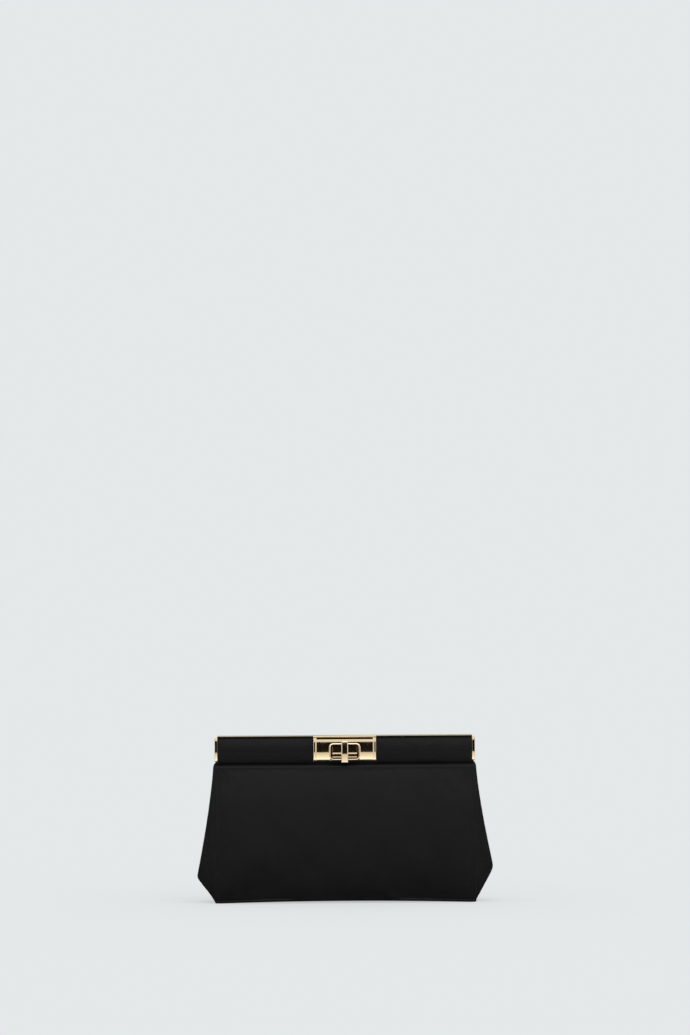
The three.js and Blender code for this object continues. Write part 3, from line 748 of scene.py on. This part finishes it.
def make_corner_knots():
    """The small lumps where the seams meet at the bottom corners."""
    places = []
    for side in (-1, 1):
        for end in (-1, 1):
            centre = (side * (SEAM_X - SEAM_TUCK), end * (BASE_DEPTH - 1.6), 1.25)
            along = np.array([side * 0.6, 0, 0.8])
            places.append((centre, along, np.array([0.0, 1.0, 0.0])))
    piece = stitches_piece("corner_knots", places, radius=1.0, length=2.6)
    finish_piece(piece, "satin", THREAD)
    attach(piece, "bag")


# ---- linings and boards ----

LINING_THICKNESS = 0.4
LINING_INSET = 2.8
LINING_RIPPLE = 0.12
LINING_RIPPLE_TOP_Z = 98
GUSSET_LINING_INSET = 4.2
COLLAR_INSET = 1.5
COLLAR_THICKNESS = 0.9
POCKET_INSET = 3.7
POCKET_THICKNESS = 0.5
POCKET_SLACK = 0.5
POCKET_HEM = 8.0
POCKET_HEM_STEP = 0.25


def plain_wall_grid(inset, channel, columns, heights):
    """A plain sheet behind a wall, drawn in from its outer face."""
    rows = [[(x, -wall_depth(z, inset, channel), z) for x in columns] for z in heights]
    return np.array(rows, float)


def make_lining(half):
    half_width = high("front_lining").x
    heights = [*np.linspace(low("front_lining").z, LINING_RIPPLE_TOP_Z, 26),
               *np.linspace(100, 111, 9), CHANNEL_Z, CLOTH_TOP]
    columns = [*np.linspace(-half_width, -LOCK_GAP, 20), *np.linspace(-LOCK_GAP, LOCK_GAP, 7)[1:-1],
               *np.linspace(LOCK_GAP, half_width, 20)]
    channel = face_at("front_lining", BESIDE_LOCK_X, CHANNEL_Z)
    grid = plain_wall_grid(LINING_INSET, channel, columns, heights)
    x, z = grid[..., 0], grid[..., 2]
    grid[..., 1] += LINING_RIPPLE * np.sin(x / 9.0) * np.sin(z / 17.0) * (z < LINING_RIPPLE_TOP_Z)
    piece = sheet_piece(f"{half}_lining_cloth", grid, over_the_lock)
    if half == "back":
        turn_piece_round(piece)
    finish_hung_sheet(piece, LINING_THICKNESS, "lining", f"{half}_lining")


def make_gusset_lining(word, half):
    node = "right_gusset_lining"
    x = high(node).x
    grid = []
    for z in np.linspace(low(node).z, high(node).z, 30):
        edge = wall_depth(z) - GUSSET_LINING_INSET
        row = [(x - 0.5 * across ** 2, -edge * across - 0.15, z) for across in np.linspace(1, 0, 9)]
        grid.append(row)
    grid = mirrored(np.array(grid, float), FOLDS[word]["side"], half)
    piece = sheet_piece(f"{word}_gusset_{half}_lining", grid)
    finish_hung_sheet(piece, LINING_THICKNESS, "lining", f"{word}_gusset_lining")


def make_collar(half):
    """The springy board inside the mouth."""
    node = f"{half}_collar"
    columns = np.linspace(-high(node).x, high(node).x, 31)
    heights = np.linspace(low(node).z, high(node).z, 12)
    grid = plain_wall_grid(COLLAR_INSET, CHANNEL_DEPTH, columns, heights)
    piece = sheet_piece(f"{half}_collar_sheet", grid)
    if half == "back":
        turn_piece_round(piece)
    thicken(piece, COLLAR_THICKNESS)
    finish_piece(piece, "stiffener")
    bend_with(piece)
    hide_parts(node)


def make_pocket():
    """A slip pocket on the back lining, a little slack, with a turned hem along its top."""
    node = "slip_pocket"
    bottom, top, half_width = low(node).z, high(node).z, high(node).x
    fold = top - POCKET_HEM
    heights = [*np.linspace(bottom, fold - 0.6, 12), fold, *np.linspace(fold + 0.6, top, 5)]
    columns = np.linspace(-half_width, half_width, 31)
    grid = plain_wall_grid(POCKET_INSET, CHANNEL_DEPTH, columns, heights)
    x, z = grid[..., 0], grid[..., 2]
    slack = POCKET_SLACK * np.cos(x / half_width * math.pi / 2) * smoothstep(z, bottom, top)
    grid[..., 1] += POCKET_HEM_STEP * smoothstep(z, fold - 0.3, fold + 0.3) + slack
    piece = sheet_piece("slip_pocket_cloth", turned_round(grid))
    finish_sheet(piece, POCKET_THICKNESS, "lining")
    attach(piece, "bag")
    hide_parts(node)


# ---- the padded inlays of the bar ----

INLAY_BACK_Y = -10.75
INLAY_EDGE = 0.5
INLAY_CROWN = 1.5
INLAY_LEAST = 0.05
INLAY_WIDEST = 0.42
INLAY_END_ROUNDING = 0.7
INLAY_EDGE_ROUNDING = 1.1


def make_inlay(node, body):
    """A strip of satin over thin padding, drawn in towards its four edges."""
    (left, bottom), (right, top) = [(corner.x, corner.z) for corner in (low(node), high(node))]
    widest = bottom + INLAY_WIDEST * (top - bottom)

    def front(x, z):
        drawn = rounding(min(x - left, right - x), INLAY_END_ROUNDING)
        drawn += 0.5 * rounding(z - bottom, 2 * INLAY_EDGE_ROUNDING)
        drawn += 0.7 * rounding(top - z, INLAY_EDGE_ROUNDING)
        away = (z - widest) / (top - widest) if z > widest else (widest - z) / (widest - bottom)
        crown = INLAY_EDGE + INLAY_CROWN * (1 - away ** 2)
        return INLAY_BACK_Y - max(crown - drawn, INLAY_LEAST)

    steps = max(int((right - left) / 3.2), 4)
    columns = edge_to_edge(left, right, INLAY_END_ROUNDING, steps, 3)
    rows = [bottom + d for d in (0, 0.12, 0.45, 1.0, 1.7, 2.4)]
    rows += [*np.linspace(bottom + 3.6, top - 2.2, 7), *[top - d for d in (1.2, 0.75, 0.35, 0.1, 0)]]
    piece = slab_piece(f"{node}_padded", columns, rows, front, lambda x, z: INLAY_BACK_Y, 80)
    settle(piece, lambda x, y, z: y > INLAY_BACK_Y - 0.35, pressure=5.0, reach=0.35, frames=12)
    if body == "back_frame":
        turn_piece_round(piece)
    subdivide(piece)
    finish_fitting(piece, "satin", body, node)


# ---- gold fittings ----

PLATE_CROWN_Y = -12.75
PLATE_BOW_RADIUS = 40.5
PLATE_THICKNESS = 0.8
PLATE_BACK_Y = -10.8
PLATE_RECESS_Y = -11.3
PLATE_ROUNDING = 0.3
BEAD_Y = -12.95
BEAD_BACK_Y = -12.3
BEAD_BOTTOM_Z = 127.3
PLATE_STEP_Z = 125.65
RIB_INNER_X = 21.9
# (distance from the middle, how far the face draws back) across one end of the plate
PLATE_END = [
    (24.5, 0.5), (24.42, 0.36), (24.0, 0.03), (23.95, 0.0), (23.9, 0.5), (22.95, 0.5), (22.9, 0.0),
    (22.5, -0.3), (22.4, -0.34), (22.3, -0.3), (21.9, 0.0),
]

PLATE_HALF = PLATE_END[0][0]


def relief_at(x):
    places, backs = zip(*reversed(PLATE_END))
    return float(np.interp(abs(x), places, backs))


def make_plate():
    """The lock's plate: a bowed face, a groove and a rib at each end, a step and a bead on top."""
    bottom, top = low("lock_plate").z, high("lock_plate").z - 0.1
    middle = (bottom + top) / 2
    bead = (BAR_TOP - BEAD_BOTTOM_Z) / 2 - 0.02

    def bow(z):
        return (z - middle) ** 2 / (2 * PLATE_BOW_RADIUS)

    def front(x, z):
        if z > BEAD_BOTTOM_Z:
            drawn = rounding(min(z - BEAD_BOTTOM_Z, BAR_TOP - z), bead)
            drawn += rounding(PLATE_HALF - abs(x), PLATE_ROUNDING)
            return min(BEAD_Y + drawn, BEAD_BACK_Y - 0.05)
        if z > PLATE_STEP_Z and abs(x) < RIB_INNER_X - 0.01:
            return BEAD_BACK_Y - 0.05 if z > top + 0.2 else PLATE_RECESS_Y
        return PLATE_CROWN_Y + bow(z) + rounding(z - bottom, PLATE_ROUNDING) + relief_at(x)

    def back(x, z):
        if z > top + 0.2:
            return BEAD_BACK_Y
        return min(PLATE_CROWN_Y + PLATE_THICKNESS + bow(z), PLATE_BACK_Y)

    ends = [x for x, _ in PLATE_END]
    flat = np.linspace(-RIB_INNER_X + 0.05, RIB_INNER_X - 0.05, 27)
    columns = [*[-x for x in ends], *flat, *reversed(ends)]
    rows = [bottom + rise for rise in (0, 0.03, 0.1, 0.3)]
    rows += [*np.linspace(bottom + 1, PLATE_STEP_Z - 0.6, 18)]
    rows += [PLATE_STEP_Z + rise for rise in (-0.15, 0, 0.05)]
    rows += [top + rise for rise in (-0.3, -0.1, 0.1, 0.21)]
    rows += edge_to_edge(BEAD_BOTTOM_Z + 0.01, BAR_TOP, bead, 2, 6)
    piece = slab_piece("lock_plate_bowed", columns, rows, front, back, 30)
    cut_hole(piece)
    finish_fitting(piece, "gold", "front_frame", "lock_plate")


LIP_FRONT_Y = -12.4
LIP_BACK_Y = -11.9
LIP_HEIGHT = 0.22


def make_lip(name, left, right, body):
    """The rounded front edge of a rail's roof: the thin gold line along the top of the bar."""
    bottom, top = BAR_TOP - LIP_HEIGHT, BAR_TOP + 0.02

    def front(x, z):
        return min(LIP_FRONT_Y + rounding(min(z - bottom, top - z), LIP_HEIGHT / 2), LIP_BACK_Y - 0.05)

    columns = np.linspace(left, right, max(int((right - left) / 4), 2))
    rows = edge_to_edge(bottom, top, LIP_HEIGHT / 2, 2, 5)
    piece = slab_piece(name, columns, rows, front, lambda x, z: LIP_BACK_Y, 50)
    if body == "back_frame":
        turn_piece_round(piece)
    finish_piece(piece, "gold")
    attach(piece, body)


EYELET_OUTLINE = rounded_rectangle(21.9, 11.0, 2.2)
EYELET_Z = (low("eyelet").z + high("eyelet").z) / 2
EYELET_TUBE = 0.45
EYELET_CREST = 0.5
EYELET_FLANGE = 1.2
EYELET_TAPER = 0.75
BOSS_LIP = 0.75
BOSS_LIP_SLOPE = 0.2
BOSS_FOOT_ROUNDING = 0.4
BOSS_FLANGE_Y = -11.9
BOSS_FOOT_Z = 111.6
BOSS_LIFT = 0.5
BOSS_RISE = 1.9
BOSS_PROUD = 0.25
BOSS_ROUNDING = 0.15


def eyelet_point(place, reach, y):
    """A point at some reach outside the eyelet's opening; place is one item of its outline."""
    (x, z), way = place
    return x + way[0] * reach, y, z + way[1] * reach + EYELET_Z


def cut_hole(piece):
    """Opens the plate where the eyelet's tube goes through."""
    reach = EYELET_TUBE + 0.2
    points = [eyelet_point(place, reach, y) for y in (-20.0, -5.0) for place in EYELET_OUTLINE]
    count = len(EYELET_OUTLINE)
    ends = [tuple(range(count)), tuple(range(2 * count - 1, count - 1, -1))]
    tool = new_piece("hole_tool", points, ends + band_faces(2, count))
    close(tool, 35)
    cutter = piece.modifiers.new("hole", "BOOLEAN")
    cutter.object = tool
    cutter.operation = "DIFFERENCE"
    cutter.solver = "EXACT"
    shaped = piece.evaluated_get(bpy.context.evaluated_depsgraph_get())
    piece.data = bpy.data.meshes.new_from_object(shaped)
    piece.modifiers.clear()
    bpy.data.objects.remove(tool)


def make_eyelet():
    """A rounded ring round the racetrack opening, and the tube behind it."""
    rear = high("eyelet").y
    front = low("eyelet").y - 0.05
    section = [
        (-EYELET_TAPER, rear), (-EYELET_TAPER, front + 1.9), (0.0, front + 0.6), (0.0, front + 0.42),
        (EYELET_CREST - 0.1, front + 0.06), (EYELET_CREST, front), (EYELET_CREST + 0.1, front + 0.03),
        (EYELET_FLANGE, front + 0.42), (EYELET_FLANGE, front + 1.0), (EYELET_TUBE, front + 1.0),
        (EYELET_TUBE, rear),
    ]
    points = [eyelet_point(place, reach, y) for place in EYELET_OUTLINE for reach, y in section]
    piece = new_piece("eyelet_ring", points, band_faces(len(EYELET_OUTLINE), len(section), closed=True))
    close(piece, 40)
    finish_fitting(piece, "gold", "front_frame", "eyelet")


def make_boss():
    """The seat of the knob inside the eyelet: a raised upper part, whose rounded lower edge catches
    the light, on a thin flange."""
    lowest, highest = low("turnlock_base"), high("turnlock_base")
    step = lowest.z + BOSS_LIFT
    top = highest.z + BOSS_RISE

    def front(x, z):
        if z < step:
            return BOSS_FLANGE_Y + rounding(z - BOSS_FOOT_Z, BOSS_FOOT_ROUNDING)
        drawn = BOSS_LIP_SLOPE * max(BOSS_LIP - (z - step), 0)
        drawn += rounding(z - step, BOSS_ROUNDING) + rounding(highest.x - abs(x), BOSS_ROUNDING)
        return lowest.y - BOSS_PROUD + min(drawn, 1.2)

    def back(x, z):
        return highest.y if lowest.z < z < highest.z else BOSS_FLANGE_Y + 0.6

    columns = edge_to_edge(lowest.x, highest.x, BOSS_ROUNDING, 14, 3)
    rows = [BOSS_FOOT_Z + BOSS_FOOT_ROUNDING * share for share in (0, 0.05, 0.2, 0.4, 0.7, 1)]
    rows += [lowest.z - 0.02, lowest.z + 0.02, step - 0.02]
    rows += [step, step + 0.05, step + BOSS_ROUNDING, *np.linspace(step + BOSS_LIP, top - 1, 4)]
    rows += [highest.z - 0.02, highest.z + 0.02, top - 0.05, top]
    piece = slab_piece("turnlock_seat", columns, sorted(rows), front, back, 50)
    finish_fitting(piece, "gold", "back_frame", "turnlock_base")


KNOB_SIDE = 0.85
KNOB_SIDE_SLOPE = 0.65
KNOB_SIDE_ROUNDING = 0.3
KNOB_END_ROUNDING = 0.7
KNOB_CROWN_POWER = 1.5
KNOB_END_SLOPE = math.tan(math.radians(8.2))


def make_knob():
    """The bar of the turn-lock: a flattened crown along its length, soft bevels and rounded ends."""
    lowest, highest = low("turn_knob"), high("turn_knob")
    middle = (lowest.z + highest.z) / 2
    half = (highest.z - lowest.z) / 2
    crown = KNOB_END_SLOPE * half / KNOB_CROWN_POWER

    def front(x, z):
        drop = crown * abs((z - middle) / half) ** KNOB_CROWN_POWER
        drawn = rounding(highest.x - abs(x), KNOB_SIDE_ROUNDING)
        drawn += rounding(half - abs(z - middle), KNOB_END_ROUNDING)
        side = KNOB_SIDE_SLOPE * max(abs(x) - highest.x + KNOB_SIDE, 0)
        return min(lowest.y + drop + drawn + side, highest.y - 0.3)

    bevel = lowest.x + KNOB_SIDE
    flank = [*edge_to_edge(lowest.x, bevel, KNOB_SIDE_ROUNDING, 1, 4)[:5], bevel - 0.06, bevel + 0.06]
    flat = np.linspace(flank[-1] + 0.4, -flank[-1] - 0.4, 5)
    columns = [*flank, *flat, *[-x for x in reversed(flank)]]
    rows = edge_to_edge(lowest.z, highest.z, KNOB_END_ROUNDING, 26, 6)
    piece = slab_piece("turn_knob_bar", columns, rows, front, lambda x, z: highest.y, 50)
    finish_fitting(piece, "gold", "knob", "turn_knob")


CAP_PROUD = 0.45
CAP_CORNER = 1.8
CAP_BOW_RADIUS = 46.0
CAP_ROUNDING = 0.35


def make_cap(half, word):
    """A bowed gold strip at one end of the bar, with its top corner cut off."""
    crown = low("front_end_cap_right").y - CAP_PROUD
    rear = high("front_end_cap_right").y
    middle = (CAP_BOTTOM + BAR_TOP) / 2
    side = -1 if (word == "left") == (half == "front") else 1

    def heights(x):
        top = BAR_TOP - max(abs(x) - (BAR_HALF_WIDTH - CAP_CORNER), 0)
        return [CAP_BOTTOM + (top - CAP_BOTTOM) * share for share in shares]

    def front(x, z):
        drawn = rounding(min(abs(x) - CAP_INNER, BAR_HALF_WIDTH - abs(x)), CAP_ROUNDING)
        drawn += rounding(min(z - CAP_BOTTOM, BAR_TOP - z), CAP_ROUNDING)
        return crown + (z - middle) ** 2 / (2 * CAP_BOW_RADIUS) + drawn

    length = BAR_TOP - CAP_BOTTOM
    shares = [z / length for z in edge_to_edge(0, length, CAP_ROUNDING, 18)]
    columns = edge_to_edge(CAP_INNER, BAR_HALF_WIDTH, CAP_ROUNDING, 4)
    columns = columns if side > 0 else [-x for x in reversed(columns)]
    piece = slab_piece(f"{half}_cap_{word}", columns, heights, front, lambda x, z: rear, 35)
    if half == "back":
        turn_piece_round(piece)
    soften_edges(piece, 0.25, 2, 50)
    finish_fitting(piece, "gold", BODIES[half], f"{half}_end_cap_{word}")


# ---- carried-over nodes ----

BEVELS = {"front_rail": 0.48, "back_rail": 0.48, "lock_bridge": 0.3}


def finish_cad_nodes():
    """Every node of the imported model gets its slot's material, and metal gets soft edges."""
    for part in frame["record"]["subparts"]:
        piece = nodes[part["node"]]
        slot = part["material_slot"]
        piece.data.materials.clear()
        piece.data.materials.append(MATERIALS[slot])
        if slot in ("gold", "steel") and not piece.hide_render:
            soften_edges(piece, BEVELS.get(piece.name, 0.12), 3, 32)


# ---- stage, light and camera: sizes in metres ----

BACKGROUND = (0.776, 0.807, 0.815)
FLOOR_ALBEDO = 0.3
FLOOR_HALF_SIZE = 30.0
FLOOR_DROP = 0.00005
SUN_STRENGTH = 0.6
SUN_SIZE = math.radians(60)
SUN_TILT = math.radians(38)
SUN_SIDE = math.radians(35)

TENT_RADIUS = 0.8
TENT_SIDES = 60
TENT_LEVELS = [0.0, 0.325, 0.55, 1.4]
TENT_MATERIALS = [
    ("tent_white", (1.0, 0.99, 0.97), 0.88), ("tent_flag", (0.01, 0.008, 0.006), 1.0),
    ("tent_grey", (0.07, 0.07, 0.07), 1.0), ("tent_pale", (0.26, 0.26, 0.255), 1.0),
    ("tent_bright", (1.0, 1.0, 1.0), 1.7), ("tent_back", (0.3, 0.3, 0.3), 1.0),
]
WHITE, FLAG, GREY, PALE, BRIGHT, BACK = range(6)
CARD_ANGLES = (52, 84)
PALE_FROM_ANGLE = 93
BACK_FROM_ANGLE = 163
BRIGHT_UP_TO_ANGLE = 62
CEILING_STRENGTH = 1.3
# (distance from the middle, strength) on the table, its greatest strength, and the back half's share
TABLE_STOPS = [(0.0, 0.1), (0.2, 0.12), (0.26, 1.4), (0.34, 1.1), (0.55, 0.8), (1.0, 0.62)]
TABLE_PEAK = 2.0
TABLE_BACK = 0.35
TABLE_RISE = 0.0004

CAMERA_DISTANCE = 2.681
CAMERA_ELEVATION = math.radians(2.5)
CAMERA_AIM = (0.0014, -0.016, 0.0642)
CAMERA_TILT_UP = math.radians(2.494)
CAMERA_ROLL = math.radians(-0.38)
CAMERA_LENS = 120
CAMERA_SENSOR = 36


def glow(name, color, strength=1.0, stops=None):
    """A material that gives light. With stops, its strength follows the distance from the middle."""
    light = Shading(name)
    light.tree.nodes.clear()
    if stops:
        place = light.add("TexCoord").outputs["Object"]
        distance = light.add("VectorMath", {0: place}, operation="LENGTH").outputs["Value"]
        curve = light.add("FloatCurve", {"Value": distance})
        points = curve.mapping.curves[0].points
        for at, value in stops[1:-1]:
            points.new(at, value / TABLE_PEAK)
        for i, (at, value) in ((0, stops[0]), (len(points) - 1, stops[-1])):
            points[i].location = (at, value / TABLE_PEAK)
        curve.mapping.update()
        peak = light.add("Math", {0: curve.outputs[0], 1: TABLE_PEAK}, operation="MULTIPLY")
        strength = peak.outputs[0]
    emission = light.add("Emission", {"Color": (*color, 1), "Strength": strength})
    light.add("OutputMaterial", {"Surface": emission.outputs[0]})
    return light.material


def make_world():
    world = bpy.data.worlds.new("studio")
    world.use_nodes = True
    world.node_tree.nodes["Background"].inputs["Color"].default_value = (*BACKGROUND, 1)
    scene.world = world


def make_floor():
    """A pale floor that glows just enough to be as bright as the backdrop, so no edge shows."""
    corners = np.array([(-1, -1, 0), (1, -1, 0), (1, 1, 0), (-1, 1, 0)]) * FLOOR_HALF_SIZE
    floor = new_piece("floor", (corners - np.array([0, 0, FLOOR_DROP])) / MM, [(0, 1, 2, 3)])
    sun = FLOOR_ALBEDO * SUN_STRENGTH * math.cos(SUN_TILT) / math.pi
    own_light = (*[c * (1 - FLOOR_ALBEDO) - sun for c in BACKGROUND], 1)
    pale = Surface("floor_pale", [FLOOR_ALBEDO] * 3, Roughness=1.0, Specular_IOR_Level=0.0,
                   Emission_Color=own_light, Emission_Strength=1.0)
    floor.data.materials.append(pale.material)


def tent_piece(name, points, faces, *materials):
    """A part of the tent, seen only in reflections."""
    piece = new_piece(name, points, faces)
    for material in materials:
        piece.data.materials.append(material)
    for kind in ("camera", "diffuse", "transmission", "volume_scatter", "shadow"):
        setattr(piece, f"visible_{kind}", False)
    return piece


def wall_tone(angle, level):
    """High up: bright in front and pale behind. Low down: black in front, white at the sides."""
    if angle > BACK_FROM_ANGLE:
        return WHITE if level > 0 else BACK
    if level > 0 and angle > PALE_FROM_ANGLE:
        return PALE
    if level > 0:
        return BRIGHT if level == 2 and angle < BRIGHT_UP_TO_ANGLE else WHITE
    if angle < CARD_ANGLES[0]:
        return FLAG
    return WHITE if angle < CARD_ANGLES[1] else GREY


def make_tent():
    """Walls, a ceiling and a table round the object, seen only in reflections: they draw the light
    and dark bands on the polished metal."""
    angles = [2 * math.pi * i / TENT_SIDES for i in range(TENT_SIDES)]
    ring = [(TENT_RADIUS * math.sin(angle), -TENT_RADIUS * math.cos(angle)) for angle in angles]
    points = np.array([(x, y, z) for z in TENT_LEVELS for x, y in ring]) / MM
    tones = [glow(*material) for material in TENT_MATERIALS]
    wall = tent_piece("tent_wall", points, band_faces(len(TENT_LEVELS), TENT_SIDES), *tones)
    for i, face in enumerate(wall.data.polygons):
        turn = (i % TENT_SIDES + 0.5) / TENT_SIDES * 360
        face.material_index = wall_tone(min(turn, 360 - turn), i // TENT_SIDES)

    half = TENT_SIDES // 2
    tables = [("tent_table", -half // 2, 1.0), ("tent_table_back", half // 2, TABLE_BACK)]
    for name, first, share in tables:
        edge = [(*ring[(first + i) % TENT_SIDES], TABLE_RISE) for i in range(half + 1)]
        stops = [(distance, strength * share) for distance, strength in TABLE_STOPS]
        white = glow(f"{name}_white", (1.0, 0.98, 0.95), stops=stops)
        tent_piece(name, np.array(edge) / MM, [tuple(range(half + 1))], white)

    white = glow("tent_ceiling_white", (1.0, 1.0, 1.0), CEILING_STRENGTH)
    tent_piece("tent_ceiling", points[-TENT_SIDES:], [tuple(range(TENT_SIDES))], white)


def make_sun():
    light = bpy.data.lights.new("soft_key", "SUN")
    light.energy = SUN_STRENGTH
    light.angle = SUN_SIZE
    sun = bpy.data.objects.new("soft_key", light)
    sun.rotation_euler = (SUN_TILT, 0, SUN_SIDE)
    scene.collection.objects.link(sun)


def make_camera():
    """Low in front of the bag and far away, with the bag in the lower half of the picture."""
    data = bpy.data.cameras.new("camera")
    data.lens = CAMERA_LENS
    data.sensor_width = CAMERA_SENSOR
    camera = bpy.data.objects.new("camera", data)
    x, y, z = CAMERA_AIM
    camera.location = (x, y - CAMERA_DISTANCE * math.cos(CAMERA_ELEVATION),
                       z + CAMERA_DISTANCE * math.sin(CAMERA_ELEVATION))
    tilt = Matrix.Rotation(math.pi / 2 + CAMERA_TILT_UP, 3, "X")
    camera.rotation_euler = (tilt @ Matrix.Rotation(CAMERA_ROLL, 3, "Z")).to_euler()
    scene.collection.objects.link(camera)
    scene.camera = camera
    scene.view_settings.view_transform = "Standard"


# ---- build ----

for half in ("front", "back"):
    make_wall(half)
    make_wall_stitches(half)
    make_lining(half)
    make_collar(half)
    for word in ("left", "right"):
        make_cap(half, word)
for word in FOLDS:
    for half in ("front", "back"):
        make_gusset_half(word, half)
        make_gusset_lining(word, half)
make_base()
make_corner_knots()
make_pocket()
for node in ("front_inlay_left", "front_inlay_right"):
    make_inlay(node, "front_frame")
make_inlay("back_inlay", "back_frame")
make_lip("front_roof_edge_left", -CAP_INNER, -PLATE_HALF, "front_frame")
make_lip("front_roof_edge_right", PLATE_HALF, CAP_INNER, "front_frame")
make_lip("back_roof_edge", -CAP_INNER, CAP_INNER, "back_frame")
make_plate()
make_eyelet()
make_boss()
make_knob()
finish_cad_nodes()
make_world()
make_floor()
make_tent()
make_sun()
make_camera()
